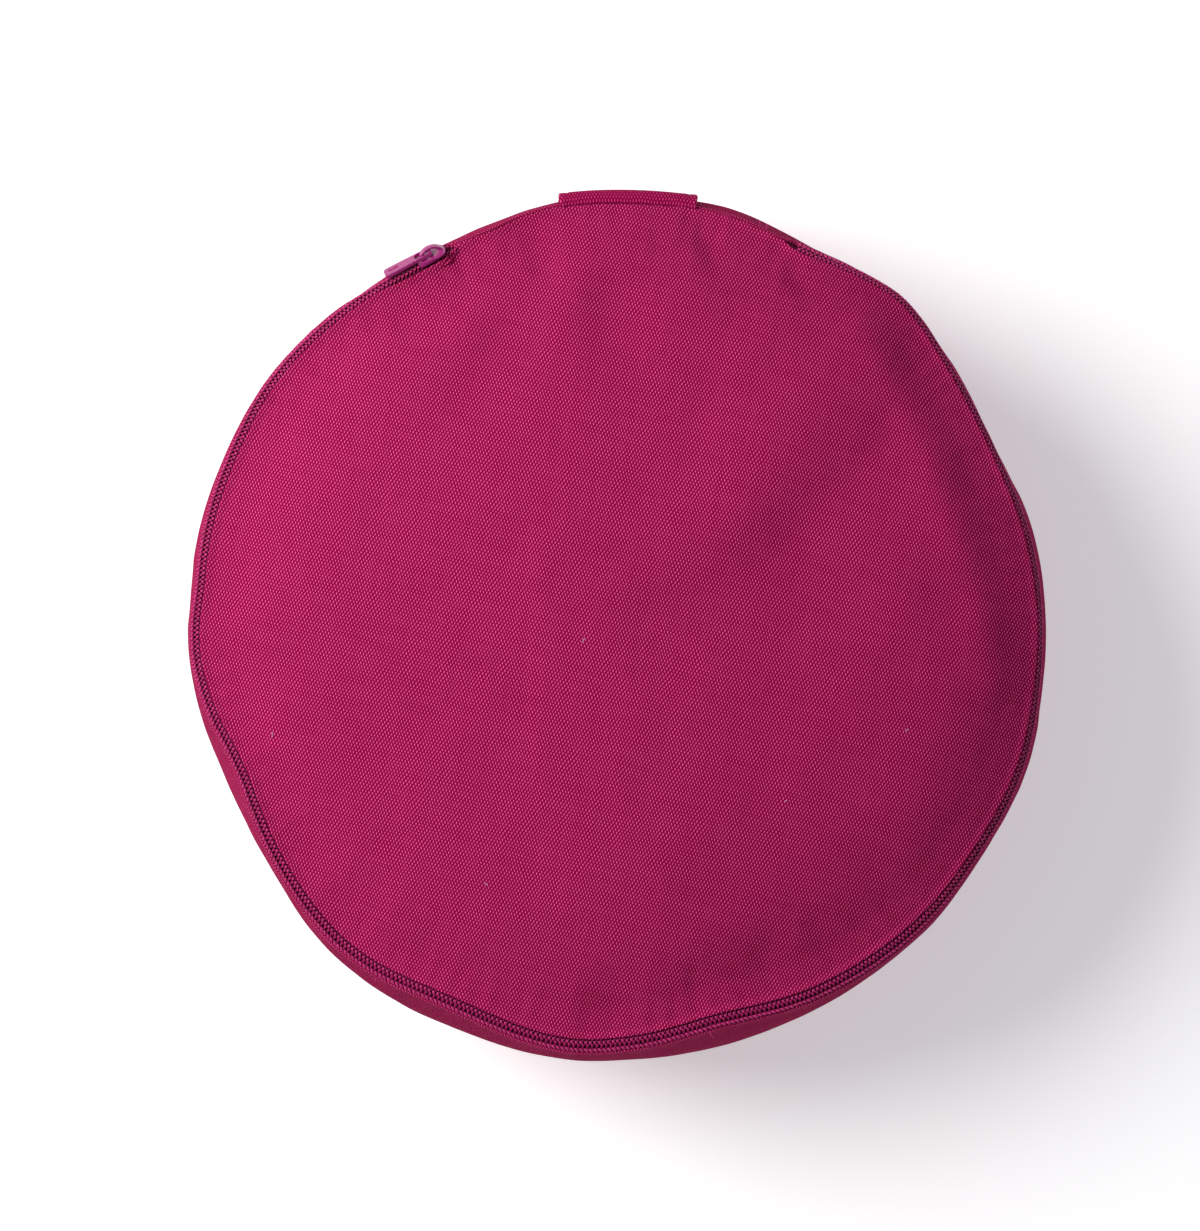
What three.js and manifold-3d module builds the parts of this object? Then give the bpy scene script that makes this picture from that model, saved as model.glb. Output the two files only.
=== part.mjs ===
// A round meditation cushion: a canvas band between two canvas discs, tightly filled, with a coil zip
// round most of the upper seam and a wide carrying strap at the back.
//
// Millimetres, +Z up. The origin is the centre of the flat underside. +Y points to the back, where the
// strap is sewn in, and the zip's slider is parked a little to the left of the strap.

import * as THREE from 'three';
import { mergeVertices } from 'three/addons/utils/BufferGeometryUtils.js';
import Module from 'manifold-3d';

// ---- driving dimensions -------------------------------------------------------------------------

const CROWN_HEIGHT = 150;        // top of the dome
const SEAM_RADIUS = 156.4;       // upper seam, on average
const SEAM_HEIGHT = 123;
const SEAM_SLIDE = 0.7;          // how far the seam drops for each millimetre that it is pushed out
const BULGE_RADIUS = 164.5;      // widest part of the band, on average
const BULGE_HEIGHT = 70;
const BAND_ROUNDNESS = 2.2;
const LOWER_SEAM_RADIUS = 155;
const LOWER_SEAM_HEIGHT = 20;
const LOWER_LEAN_DEG = 48;       // how steeply the lower seam leans
const LOWER_UNEVENNESS = 0.5;    // share of the upper seam's waves that the lower seam has
const REST_RADIUS = 118;         // flat part of the underside
const CLOTH = 2.2;               // thickness of a panel with its turned edge
const TURN = 0.3;                // how far a turned edge rounds off
const GAP = 0.43;                // air between neighbouring pieces

const DOME_POWER = 2.4;          // profile of the dome, low for round and high for flat with a steep rim
const DOME_POWER_STEEP = 2.2;    // what is added to it on the steep side
const STEEP_SIDE_DEG = 5;
const STEEP_DROP = 3;            // how much lower the seam is there

const ZIP_START_DEG = 113.6;     // open end of the coils, in front of the slider's nose
const ZIP_END_DEG = 425;         // the far end, just right of the strap
const ZIP_MARGIN_DEG = 3.6;      // how far the seam stays open past the coils
const ZIP_FADE_DEG = 4;          // over which it then closes
const ZIP_HALF_WIDTH = 2.8;      // from the zip's centre line to a cloth edge
const PLAIN_HALF_WIDTH = 0.35;   // the same where the seam is plain
const STRAP_HALF_WIDTH = 1.3;    // the same where the strap is sewn in
const COIL_OFFSET = 1.22;        // from the zip's centre line to the middle of one coil
const COIL_SPREAD = 1.2;         // how much further apart the coils are where they enter the slider
const COIL_HALF_WIDTH = 1.05;
const COIL_HALF_HEIGHT = 1.05;

const SLIDER_DEG = 117.2;
const SLIDER_LENGTH = 12;
const SLIDER_PLATE = 0.95;       // thickness of each of its two plates
const SLIDER_INSIDE = 1.5;       // from the coils' middle to the inner face of a plate
const SLIDER_HALF_WIDTH = 4.4;   // at the shoulders
const SLIDER_POCKET = 5.1;       // half width of the seam's opening around the slider
const SLIDER_REACH_DEG = 3.6;    // half length of that opening
const BRIDGE_WIDTH = 2.4;
const BRIDGE_BAR = 1.3;          // thickness of the bridge
const BRIDGE_CLEAR = 2.7;        // height of the window under it
const PULL_LENGTH = 19.5;
const PULL_WIDTH = 5.2;
const PULL_THICKNESS = 1.4;
const PULL_SWING_DEG = 4;        // how far it has swung down the seam's slope
const PULL_DIP_DEG = 3;          // how far its tip hangs

const STRAP_WIDTH = 54;
const STRAP_THICKNESS = 1.5;
const STRAP_CENTRE_X = 3;
const STRAP_MARGIN = 1;          // how far past the strap its seam stays open
const STRAP_FADE = 7;            // over which it then closes

const SEGMENTS = 80;

const CLOTH_COLOUR = 0x9d2253;
const COIL_COLOUR = 0x8e1f4c;
const ENAMEL_COLOUR = 0xaf508c;

// The rim goes round unevenly. Each row gives, at an angle from +X, how far the upper seam and the
// widest part of the band stand out past their averages, and how steeply the seam leans outwards.
const RIM = [
  { at: 0, seam: -0.5, bulge: -1, lean: 64 },
  { at: 12, seam: -1.5, bulge: -2, lean: 66 },
  { at: 25, seam: -3.5, bulge: -5, lean: 70 },
  { at: 38, seam: -0.5, bulge: -2.5, lean: 74 },
  { at: 49, seam: 4.5, bulge: 0.5, lean: 74 },
  { at: 57, seam: 1.5, bulge: -0.5, lean: 69 },
  { at: 64, seam: -1, bulge: -1, lean: 60 },
  { at: 75, seam: 1.5, bulge: 2, lean: 54 },
  { at: 88, seam: 1, bulge: 0, lean: 53 },
  { at: 102, seam: 1, bulge: -1, lean: 52 },
  { at: 109, seam: -2, bulge: -2.5, lean: 50 },
  { at: 120, seam: -4, bulge: -4, lean: 51 },
  { at: 132, seam: -1.5, bulge: -3, lean: 50 },
  { at: 146, seam: 1, bulge: -0.5, lean: 48 },
  { at: 157, seam: 0.5, bulge: -0.5, lean: 44 },
  { at: 168, seam: 0.5, bulge: 0, lean: 46 },
  { at: 175, seam: 0, bulge: -0.5, lean: 47 },
  { at: 183, seam: 1.5, bulge: 0.5, lean: 47 },
  { at: 191, seam: -1, bulge: -0.5, lean: 45 },
  { at: 201, seam: -6, bulge: -3.5, lean: 40 },
  { at: 215, seam: -2.5, bulge: -3, lean: 37 },
  { at: 230, seam: 1, bulge: 2, lean: 33 },
  { at: 246, seam: -2.5, bulge: 1.5, lean: 29 },
  { at: 263, seam: 1, bulge: 2, lean: 27 },
  { at: 273, seam: -1.5, bulge: 1, lean: 27 },
  { at: 284, seam: -5, bulge: 0.5, lean: 26 },
  { at: 298, seam: -1.5, bulge: -0.5, lean: 31 },
  { at: 316, seam: 1, bulge: 0, lean: 41 },
  { at: 327, seam: 0.5, bulge: -1, lean: 51 },
  { at: 340, seam: 1.5, bulge: 0, lean: 55 },
  { at: 352, seam: 0, bulge: -1, lean: 60 },
];

// Soft troughs and ridges in the top disc: the line that each follows, its half width and its height.
const FOLDS = [
  { name: 'long valley', line: [[22, -1], [54, 20], [84, 55], [97, 73]], half: 10, height: -3.0 },
  { name: 'fold above the valley', line: [[25, 37], [45, 73], [69, 95]], half: 13, height: 1.6 },
  { name: 'ridge on the right', line: [[98, 101], [119, 44], [133, 4], [140, -25]], half: 9, height: 2.4 },
  { name: 'trough towards the back', line: [[29, 73], [34, 92], [45, 110]], half: 7, height: -1.4 },
  { name: 'hollow behind the middle', line: [[-3, 125], [-4, 104]], half: 7, height: -1.4 },
  { name: 'hollow on the left', line: [[-42, 104], [-52, 82]], half: 8, height: -1.5 },
  { name: 'broad hollow', line: [[8, 66], [10, 28]], half: 20, height: -0.8 },
  { name: 'pucker left of the strap', line: [[-34, 147], [-30, 131]], half: 4.5, height: -1.8 },
  { name: 'pucker right of the strap', line: [[30, 149], [35, 135]], half: 4.5, height: -2.0 },
  { name: 'pucker by the zip end', line: [[64, 136], [68, 123]], half: 4.5, height: -1.3 },
  { name: 'pucker by the pull tab', line: [[-83, 121], [-79, 108]], half: 4.5, height: -1.3 },
  { name: 'pucker at the front', line: [[29, -130], [33, -146]], half: 5, height: -1.3 },
];
const FOLD_FADE = 10;            // power with which the folds fade towards the seam

// Rings of the discs, as a share of the way from the middle to the edge.
const TOP_RINGS = [0.1, 0.22, 0.34, 0.45, 0.55, 0.64, 0.72, 0.79, 0.85, 0.9, 0.95, 1];
const REST_RINGS = [0.5, 1];
const LOWER_CURVE_RINGS = [0.36, 0.7, 1];
const BAND_STEPS = [0.92, 0.78, 0.58, 0.32];

// The strap's path from the upper seam to the lower one, along the middle of its cloth. Near a seam a
// point is given across the seam and out of it. Elsewhere it is given by its height, its slack off the
// band at the strap's centre, and how much that grows for each millimetre to the right.
const STRAP_PATH = [
  { from: 'upper', across: 0, out: -0.4 },
  { from: 'upper', across: 0.1, out: 1.2 },
  { from: 'upper', across: 1.3, out: 2.2 },
  { from: 'upper', across: 4.2, out: 2.4 },
  { from: 'band', z: 108, slack: 0.3, skew: 0.01 },
  { from: 'band', z: 92, slack: 0.8, skew: 0.02 },
  { from: 'band', z: 75, slack: 1.3, skew: 0.03 },
  { from: 'band', z: 60, slack: 3.2, skew: 0.03 },
  { from: 'band', z: 46, slack: 7.2, skew: 0.02 },
  { from: 'band', z: 35, slack: 9.0, skew: 0.01 },
  { from: 'band', z: 26.5, slack: 5.6, skew: 0 },
  { from: 'lower', across: 4.0, out: 2.4 },
  { from: 'lower', across: 1.3, out: 2.2 },
  { from: 'lower', across: 0.1, out: 1.2 },
  { from: 'lower', across: 0, out: -0.4 },
];
const STRAP_COLUMNS = 7;
const STRAP_CLEAR = STRAP_THICKNESS / 2 + GAP + 0.1;

// ---- rim and dome ---------------------------------------------------------------------------------

const rad = THREE.MathUtils.degToRad;
const deg = THREE.MathUtils.radToDeg;
const smoothstep = THREE.MathUtils.smoothstep;

// One column of the rim table at any angle, by a smooth closed curve through its rows.
function rimValue(column, angle) {
  const at = THREE.MathUtils.euclideanModulo(deg(angle), 360);
  const n = RIM.length;
  let i = n - 1;
  while (RIM[i].at > at) i -= 1;
  const row = (k) => {
    const turn = Math.floor(k / n);
    return { at: RIM[k - turn * n].at + 360 * turn, value: RIM[k - turn * n][column] };
  };
  const [before, a, b, after] = [row(i - 1), row(i), row(i + 1), row(i + 2)];
  const span = b.at - a.at;
  const t = (at - a.at) / span;
  const slopeA = (b.value - before.value) / (b.at - before.at);
  const slopeB = (after.value - a.value) / (after.at - a.at);
  return (
    (1 + 2 * t) * (1 - t) ** 2 * a.value +
    t * (1 - t) ** 2 * span * slopeA +
    t * t * (3 - 2 * t) * b.value +
    t * t * (t - 1) * span * slopeB
  );
}

// How far an angle is inside a stretch of the rim, from 1 inside it to 0 past its fade.
function within(angle, startDeg, endDeg, fadeDeg) {
  const middle = (startDeg + endDeg) / 2;
  const away = THREE.MathUtils.euclideanModulo(deg(angle) - middle + 180, 360) - 180;
  return 1 - smoothstep(Math.abs(away), (endDeg - startDeg) / 2, (endDeg - startDeg) / 2 + fadeDeg);
}

const nearSlider = (angle) => (
  within(angle, SLIDER_DEG - SLIDER_REACH_DEG, SLIDER_DEG + SLIDER_REACH_DEG, ZIP_FADE_DEG)
);

function nearStrap(angle) {
  const x = SEAM_RADIUS * Math.cos(angle) - STRAP_CENTRE_X;
  return Math.sin(angle) > 0
    ? 1 - smoothstep(Math.abs(x) - STRAP_WIDTH / 2, STRAP_MARGIN, STRAP_MARGIN + STRAP_FADE)
    : 0;
}

// How much an angle belongs to the steep side, from 0 to 1.
const steepness = (angle) => ((1 + Math.cos(angle - rad(STEEP_SIDE_DEG))) / 2) ** 2;

// A seam at an angle, in the upright plane through the axis: its middle, the direction across it
// (towards the band), the direction out of it, and how far each cloth edge is from its middle.
function upperSeam(angle) {
  const push = rimValue('seam', angle);
  const lean = rad(rimValue('lean', angle));
  const zip = within(angle, ZIP_START_DEG - ZIP_MARGIN_DEG, ZIP_END_DEG + ZIP_MARGIN_DEG, ZIP_FADE_DEG);
  return {
    middle: new THREE.Vector2(
      SEAM_RADIUS + push,
      SEAM_HEIGHT - SEAM_SLIDE * push - STEEP_DROP * steepness(angle),
    ),
    across: new THREE.Vector2(Math.cos(lean), -Math.sin(lean)),
    out: new THREE.Vector2(Math.sin(lean), Math.cos(lean)),
    half: PLAIN_HALF_WIDTH +
      (ZIP_HALF_WIDTH - PLAIN_HALF_WIDTH) * zip +
      (SLIDER_POCKET - ZIP_HALF_WIDTH) * nearSlider(angle) +
      (STRAP_HALF_WIDTH - PLAIN_HALF_WIDTH) * nearStrap(angle),
  };
}

function lowerSeam(angle) {
  const push = LOWER_UNEVENNESS * rimValue('seam', angle);
  const lean = rad(LOWER_LEAN_DEG);
  return {
    middle: new THREE.Vector2(LOWER_SEAM_RADIUS + push, LOWER_SEAM_HEIGHT),
    across: new THREE.Vector2(Math.cos(lean), Math.sin(lean)),
    out: new THREE.Vector2(Math.sin(lean), -Math.cos(lean)),
    half: PLAIN_HALF_WIDTH + (STRAP_HALF_WIDTH - PLAIN_HALF_WIDTH) * nearStrap(angle),
  };
}

function seamPoint(seam, across, out) {
  return seam.middle.clone().addScaledVector(seam.across, across).addScaledVector(seam.out, out);
}

// Where a panel's outer face ends at a seam, and where its inner face does.
const panelEdge = (seam) => seamPoint(seam, -seam.half - TURN, CLOTH * 0.55);
const panelInnerEdge = (seam) => seamPoint(seam, -seam.half - TURN, -CLOTH * 0.45);

function distanceToLine(point, line) {
  const segment = new THREE.Line3();
  const nearest = new THREE.Vector3();
  let best = Infinity;
  for (let i = 1; i < line.length; i += 1) {
    segment.start.set(...line[i - 1], 0);
    segment.end.set(...line[i], 0);
    segment.closestPointToPoint(point, true, nearest);
    best = Math.min(best, nearest.distanceTo(point));
  }
  return best;
}

function foldHeight(x, y) {
  const point = new THREE.Vector3(x, y, 0);
  let height = 0;
  for (const fold of FOLDS) {
    height += fold.height * Math.exp(-((distanceToLine(point, fold.line) / fold.half) ** 2));
  }
  return height;
}

// The upper face of the top disc at an angle, at a share of the way from the middle to its edge.
function domePoint(angle, share) {
  const seam = upperSeam(angle);
  const edge = panelEdge(seam);
  const power = DOME_POWER + DOME_POWER_STEEP * steepness(angle);
  const r = share * edge.x;
  const folds = foldHeight(r * Math.cos(angle), r * Math.sin(angle)) * (1 - share ** FOLD_FADE);
  return new THREE.Vector2(r, edge.y + (CROWN_HEIGHT - edge.y) * (1 - share ** power) + folds);
}

function undersidePoint(angle, share) {
  const edge = panelEdge(lowerSeam(angle));
  return new THREE.Vector2(REST_RADIUS + (edge.x - REST_RADIUS) * share, edge.y * share * share);
}

const lift = (point, height) => new THREE.Vector2(point.x, point.y + height);

// ---- making meshes ---------------------------------------------------------------------------------

function closedGeometry(positions, faces) {
  let volume = 0;
  const corner = (i) => new THREE.Vector3(...positions[i]);
  for (const [a, b, c] of faces) volume += corner(a).dot(corner(b).cross(corner(c)));
  const index = volume < 0 ? faces.map(([a, b, c]) => [a, c, b]) : faces;
  const geometry = new THREE.BufferGeometry();
  geometry.setAttribute('position', new THREE.Float32BufferAttribute(positions.flat(), 3));
  geometry.setIndex(index.flat());
  geometry.computeVertexNormals();
  return geometry;
}

// A closed body from a section for each angle: the sections start and end on the axis. The quads are
// split the same way on faces that run outwards and inwards, so that parallel faces stay apart.
function turnedBody(sectionAt) {
  const sections = [];
  for (let k = 0; k < SEGMENTS; k += 1) sections.push(sectionAt((2 * Math.PI * k) / SEGMENTS));
  const last = sections[0].length - 1;
  const rings = last - 1;
  const positions = [[0, 0, sections[0][0].y]];
  for (let j = 1; j < last; j += 1) {
    sections.forEach((section, k) => {
      const angle = (2 * Math.PI * k) / SEGMENTS;
      const { x: r, y: z } = section[j];
      positions.push([r * Math.cos(angle), r * Math.sin(angle), z]);
    });
  }
  positions.push([0, 0, sections[0][last].y]);
  const at = (ring, k) => 1 + ring * SEGMENTS + (k % SEGMENTS);
  const end = positions.length - 1;
  const faces = [];
  for (let k = 0; k < SEGMENTS; k += 1) {
    faces.push([0, at(0, k), at(0, k + 1)]);
    for (let ring = 0; ring < rings - 1; ring += 1) {
      const [a, b, c, d] = [at(ring, k), at(ring + 1, k), at(ring + 1, k + 1), at(ring, k + 1)];
      const outwards = sections[0][ring + 2].x > sections[0][ring + 1].x;
      if (outwards) faces.push([a, b, c], [a, c, d]);
      else faces.push([a, b, d], [b, c, d]);
    }
    faces.push([end, at(rings - 1, k + 1), at(rings - 1, k)]);
  }
  return closedGeometry(positions, faces);
}

// A closed body from loops of equal length, joined in order and capped at both ends.
function loftedBody(loops) {
  const size = loops[0].length;
  const positions = loops.flat().map((p) => p.toArray());
  const at = (loop, k) => loop * size + (k % size);
  const faces = [];
  for (let loop = 0; loop < loops.length - 1; loop += 1) {
    for (let k = 0; k < size; k += 1) {
      faces.push([at(loop, k), at(loop + 1, k), at(loop + 1, k + 1)]);
      faces.push([at(loop, k), at(loop + 1, k + 1), at(loop, k + 1)]);
    }
  }
  for (let k = 1; k < size - 1; k += 1) {
    faces.push([at(0, 0), at(0, k), at(0, k + 1)]);
    faces.push([at(loops.length - 1, 0), at(loops.length - 1, k + 1), at(loops.length - 1, k)]);
  }
  return closedGeometry(positions, faces);
}

function standUp(point, angle) {
  return new THREE.Vector3(point.x * Math.cos(angle), point.x * Math.sin(angle), point.y);
}

const wasm = await Module();
wasm.setup();

function toSolid(geometry) {
  const bare = geometry.clone();
  for (const name of Object.keys(bare.attributes)) {
    if (name !== 'position') bare.deleteAttribute(name);
  }
  const merged = mergeVertices(bare, 1e-4);
  return new wasm.Manifold(new wasm.Mesh({
    numProp: 3,
    vertProperties: new Float32Array(merged.attributes.position.array),
    triVerts: new Uint32Array(merged.index.array),
  }));
}

function toGeometry(solid) {
  const mesh = solid.getMesh();
  const geometry = new THREE.BufferGeometry();
  geometry.setAttribute('position', new THREE.BufferAttribute(mesh.vertProperties, 3));
  geometry.setIndex(new THREE.BufferAttribute(mesh.triVerts, 1));
  geometry.computeVertexNormals();
  return geometry;
}

// ---- cloth -----------------------------------------------------------------------------------------

function topPanel() {
  return turnedBody((angle) => {
    const upper = TOP_RINGS.map((share) => domePoint(angle, share));
    const seam = upperSeam(angle);
    const inner = upper.slice(0, -1).map((point) => lift(point, -CLOTH)).reverse();
    const middle = domePoint(angle, 0);
    return [
      middle, ...upper, seamPoint(seam, -seam.half, 0), panelInnerEdge(seam), ...inner, lift(middle, -CLOTH),
    ];
  });
}

function bottomPanel() {
  return turnedBody((angle) => {
    const outer = [
      ...REST_RINGS.map((share) => new THREE.Vector2(REST_RADIUS * share, 0)),
      ...LOWER_CURVE_RINGS.map((share) => undersidePoint(angle, share)),
    ];
    const seam = lowerSeam(angle);
    const inner = outer.slice(0, -1).map((point) => lift(point, CLOTH)).reverse();
    const middle = new THREE.Vector2(0, 0);
    return [
      middle, ...outer, seamPoint(seam, -seam.half, 0), panelInnerEdge(seam), ...inner, lift(middle, CLOTH),
    ];
  });
}

// The band at a seam, from under the panel's edge and the zip to the top of its own turned edge.
function bandEdge(seam, pocket = 0) {
  const floor = -CLOTH * 0.45 - GAP - 0.1 - SLIDER_PLATE * 1.5 * pocket;
  return [
    seamPoint(seam, -seam.half - TURN, floor),
    seamPoint(seam, seam.half, floor),
    seamPoint(seam, seam.half + TURN, CLOTH * 0.3),
    seamPoint(seam, seam.half + CLOTH * 0.36, CLOTH * 0.36),
  ];
}

// The band's outer face between two ends, bulging in the middle. Steps run from 1 at an end to 0 at
// the widest place.
function bandPoint(angle, end, step) {
  const bulge = BULGE_RADIUS + rimValue('bulge', angle);
  return new THREE.Vector2(
    end.x + (bulge - end.x) * (1 - step ** BAND_ROUNDNESS),
    BULGE_HEIGHT + (end.y - BULGE_HEIGHT) * step,
  );
}

function sideBand() {
  const below = CLOTH + GAP;
  return turnedBody((angle) => {
    const [upper, lower] = [upperSeam(angle), lowerSeam(angle)];
    const upperEdge = bandEdge(upper, nearSlider(angle));
    const lowerEdge = bandEdge(lower);
    const underTop = TOP_RINGS.slice(0, -1).map((share) => lift(domePoint(angle, share), -below));
    const overBase = [
      ...REST_RINGS.map((share) => new THREE.Vector2(REST_RADIUS * share, below)),
      ...LOWER_CURVE_RINGS.slice(0, -1).map((share) => lift(undersidePoint(angle, share), below)),
    ];
    return [
      lift(domePoint(angle, 0), -below),
      ...underTop,
      ...upperEdge,
      ...BAND_STEPS.map((step) => bandPoint(angle, upperEdge.at(-1), step)),
      ...[0, ...BAND_STEPS.toReversed()].map((step) => bandPoint(angle, lowerEdge.at(-1), step)),
      ...lowerEdge.reverse(),
      ...overBase.reverse(),
      new THREE.Vector2(0, below),
    ];
  });
}

// The middle of the strap's cloth on one column, from the upper seam to the lower one.
function strapPoint(angle, side, row) {
  if (row.from === 'upper') return seamPoint(upperSeam(angle), row.across, row.out);
  if (row.from === 'lower') return seamPoint(lowerSeam(angle), row.across, row.out);
  const end = bandEdge(row.z > BULGE_HEIGHT ? upperSeam(angle) : lowerSeam(angle)).at(-1);
  const band = bandPoint(angle, end, (row.z - BULGE_HEIGHT) / (end.y - BULGE_HEIGHT));
  return new THREE.Vector2(band.x + STRAP_CLEAR + row.slack + row.skew * side, row.z);
}

// The strap: folded canvas that follows the band's curve across its width.
function strap() {
  const columns = [];
  for (let c = 0; c < STRAP_COLUMNS; c += 1) {
    const side = STRAP_WIDTH * (c / (STRAP_COLUMNS - 1) - 0.5);
    const angle = Math.acos((STRAP_CENTRE_X + side) / (BULGE_RADIUS + 3));
    const middle = STRAP_PATH.map((row) => strapPoint(angle, side, row));
    const path = new THREE.CatmullRomCurve3(middle.map((p) => new THREE.Vector3(p.x, p.y, 0)));
    const edge = (p, i, way) => {
      const tangent = path.getTangent(i / (middle.length - 1));
      const shift = new THREE.Vector2(-tangent.y, tangent.x).multiplyScalar(way * STRAP_THICKNESS / 2);
      return standUp(p.clone().add(shift), angle);
    };
    const outer = middle.map((p, i) => edge(p, i, 1));
    const inner = middle.map((p, i) => edge(p, i, -1));
    columns.push([...outer, ...inner.reverse()]);
  }
  return stripBody(columns);
}

// A closed body whose columns are closed strips: the outer row there and the inner row back. Its two
// side walls are made of quads between the rows.
function stripBody(columns) {
  const size = columns[0].length;
  const half = size / 2;
  const positions = columns.flat().map((p) => p.toArray());
  const at = (column, k) => column * size + (k % size);
  const faces = [];
  for (let c = 0; c < columns.length - 1; c += 1) {
    for (let k = 0; k < size; k += 1) {
      faces.push([at(c, k), at(c + 1, k), at(c + 1, k + 1)]);
      faces.push([at(c, k), at(c + 1, k + 1), at(c, k + 1)]);
    }
  }
  const last = columns.length - 1;
  for (let k = 0; k < half - 1; k += 1) {
    const [a, b, c, d] = [k, k + 1, size - 2 - k, size - 1 - k];
    faces.push([at(0, a), at(0, b), at(0, c)], [at(0, a), at(0, c), at(0, d)]);
    faces.push([at(last, a), at(last, c), at(last, b)], [at(last, a), at(last, d), at(last, c)]);
  }
  return closedGeometry(positions, faces);
}

// ---- zip -------------------------------------------------------------------------------------------

// Angles of the coils' sections in degrees: close together inside the slider, then the panels' own.
function coilSteps() {
  const fine = [0, 0.25, 0.5, 0.75, 1].map((share) => (
    ZIP_START_DEG + share * 2 * (SLIDER_DEG - ZIP_START_DEG)
  ));
  const step = 360 / SEGMENTS;
  const even = [];
  for (let at = step * Math.ceil(fine.at(-1) / step + 0.25); at < ZIP_END_DEG - step / 4; at += step) {
    even.push(at);
  }
  return [...fine, ...even, ZIP_END_DEG];
}

// One coil of the zip, on the given side of its centre line.
function coil(side) {
  const [wide, high] = [COIL_HALF_WIDTH, COIL_HALF_HEIGHT];
  const section = [[wide, 0], [wide * 0.6, high], [-wide * 0.6, high],
    [-wide, 0], [-wide * 0.6, -high], [wide * 0.6, -high]];
  const loops = coilSteps().map((at) => {
    const angle = rad(at);
    const seam = upperSeam(angle);
    const spread = COIL_SPREAD * (1 - smoothstep(at, ZIP_START_DEG + 1.3, SLIDER_DEG + 1.2));
    const offset = side * (COIL_OFFSET + spread);
    return section.map(([across, out]) => standUp(seamPoint(seam, offset + across, out), angle));
  });
  return loftedBody(loops);
}

// The slider lies along X with its nose at +X, Y across the seam towards the band and Z out of it.
function sliderPlate(z) {
  const [end, wide] = [SLIDER_LENGTH / 2, SLIDER_HALF_WIDTH];
  const flank = [
    { x: -end, y: wide * 0.78 },
    { x: -end * 0.2, y: wide * 0.86 },
    { x: end * 0.35, y: wide },
    { x: end * 0.74, y: wide * 0.84 },
  ];
  const shoulder = flank.at(-1);
  const outline = new THREE.Shape();
  outline.moveTo(flank[0].x, -flank[0].y);
  for (const { x, y } of flank.slice(1)) outline.lineTo(x, -y);
  outline.quadraticCurveTo(end * 1.08, 0, shoulder.x, shoulder.y);
  for (const { x, y } of flank.slice(0, -1).reverse()) outline.lineTo(x, y);
  const options = { depth: SLIDER_PLATE, bevelEnabled: false, curveSegments: 8 };
  return toSolid(new THREE.ExtrudeGeometry(outline, options).translate(0, 0, z));
}

function sliderFlange(side) {
  const [length, height] = [SLIDER_LENGTH * 0.62, 0.7];
  const flange = new THREE.BoxGeometry(length, 0.6, height + 0.2);
  flange.translate(-SLIDER_LENGTH * 0.17, side * SLIDER_HALF_WIDTH * 0.78, SLIDER_INSIDE - height / 2 + 0.1);
  return toSolid(flange);
}

// The bridge over the slider, a bar that arches from tail to nose.
function sliderBridge() {
  const foot = SLIDER_INSIDE + SLIDER_PLATE * 0.5;
  const top = SLIDER_INSIDE + SLIDER_PLATE + BRIDGE_CLEAR;
  const [back, front] = [-SLIDER_LENGTH * 0.4, SLIDER_LENGTH * 0.41];
  const arch = new THREE.Shape();
  arch.moveTo(back, foot);
  arch.bezierCurveTo(back, top + BRIDGE_BAR * 1.3, front - 1, top + BRIDGE_BAR * 1.6, front, foot);
  arch.lineTo(front - BRIDGE_BAR * 1.2, foot);
  arch.bezierCurveTo(front - 2, top + 0.75, back + 1.3, top + 0.95, back + BRIDGE_BAR * 1.1, foot);
  const options = { depth: BRIDGE_WIDTH, bevelEnabled: false, curveSegments: 10 };
  const bar = new THREE.ExtrudeGeometry(arch, options);
  return toSolid(bar.rotateX(Math.PI / 2).translate(0, BRIDGE_WIDTH / 2, 0));
}

function slider() {
  const inside = SLIDER_INSIDE;
  const post = new THREE.BoxGeometry(SLIDER_LENGTH * 0.24, 1, 2 * inside + SLIDER_PLATE);
  post.translate(SLIDER_LENGTH * 0.35, 0, 0);
  const rest = [sliderPlate(-inside - SLIDER_PLATE), toSolid(post), sliderFlange(-1), sliderFlange(1)];
  const body = rest.reduce((whole, piece) => whole.add(piece), sliderPlate(inside));
  return toGeometry(body.add(sliderBridge()));
}

// The pull tab lies along -X from its head, with an eye round the bridge's rear leg and a shallow
// recess near its tip. Its zero is where the rear leg stands in the eye.
function pullTab() {
  const [head, tip] = [4.6, 4.6 - PULL_LENGTH];
  const [narrow, wide, round] = [PULL_WIDTH * 0.43, PULL_WIDTH / 2, 1.5];
  const outline = new THREE.Shape();
  outline.moveTo(head, -narrow);
  outline.lineTo(head, narrow);
  outline.lineTo(tip + 5, wide);
  outline.lineTo(tip + round, wide);
  outline.quadraticCurveTo(tip, wide, tip, wide - round);
  outline.lineTo(tip, -wide + round);
  outline.quadraticCurveTo(tip, -wide, tip + round, -wide);
  outline.lineTo(tip + 5, -wide);
  outline.closePath();
  const eye = new THREE.Path();
  const [back, front, high] = [-1.9, head - 1.4, 1.65];
  eye.moveTo(back, -high * 0.6);
  eye.quadraticCurveTo(back - 0.7, 0, back, high * 0.6);
  eye.lineTo(back + 0.8, high);
  eye.lineTo(front, high);
  eye.lineTo(front, -high);
  eye.lineTo(back + 0.8, -high);
  eye.closePath();
  outline.holes.push(eye);
  const options = { depth: PULL_THICKNESS, bevelEnabled: false, curveSegments: 4 };
  const plate = new THREE.ExtrudeGeometry(outline, options).translate(0, 0, -PULL_THICKNESS / 2);
  const recess = new THREE.BoxGeometry(4.2, 1.3, 1).translate(tip + 4, 0, PULL_THICKNESS / 2 + 0.1);
  return toGeometry(toSolid(plate).subtract(toSolid(recess)));
}

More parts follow.
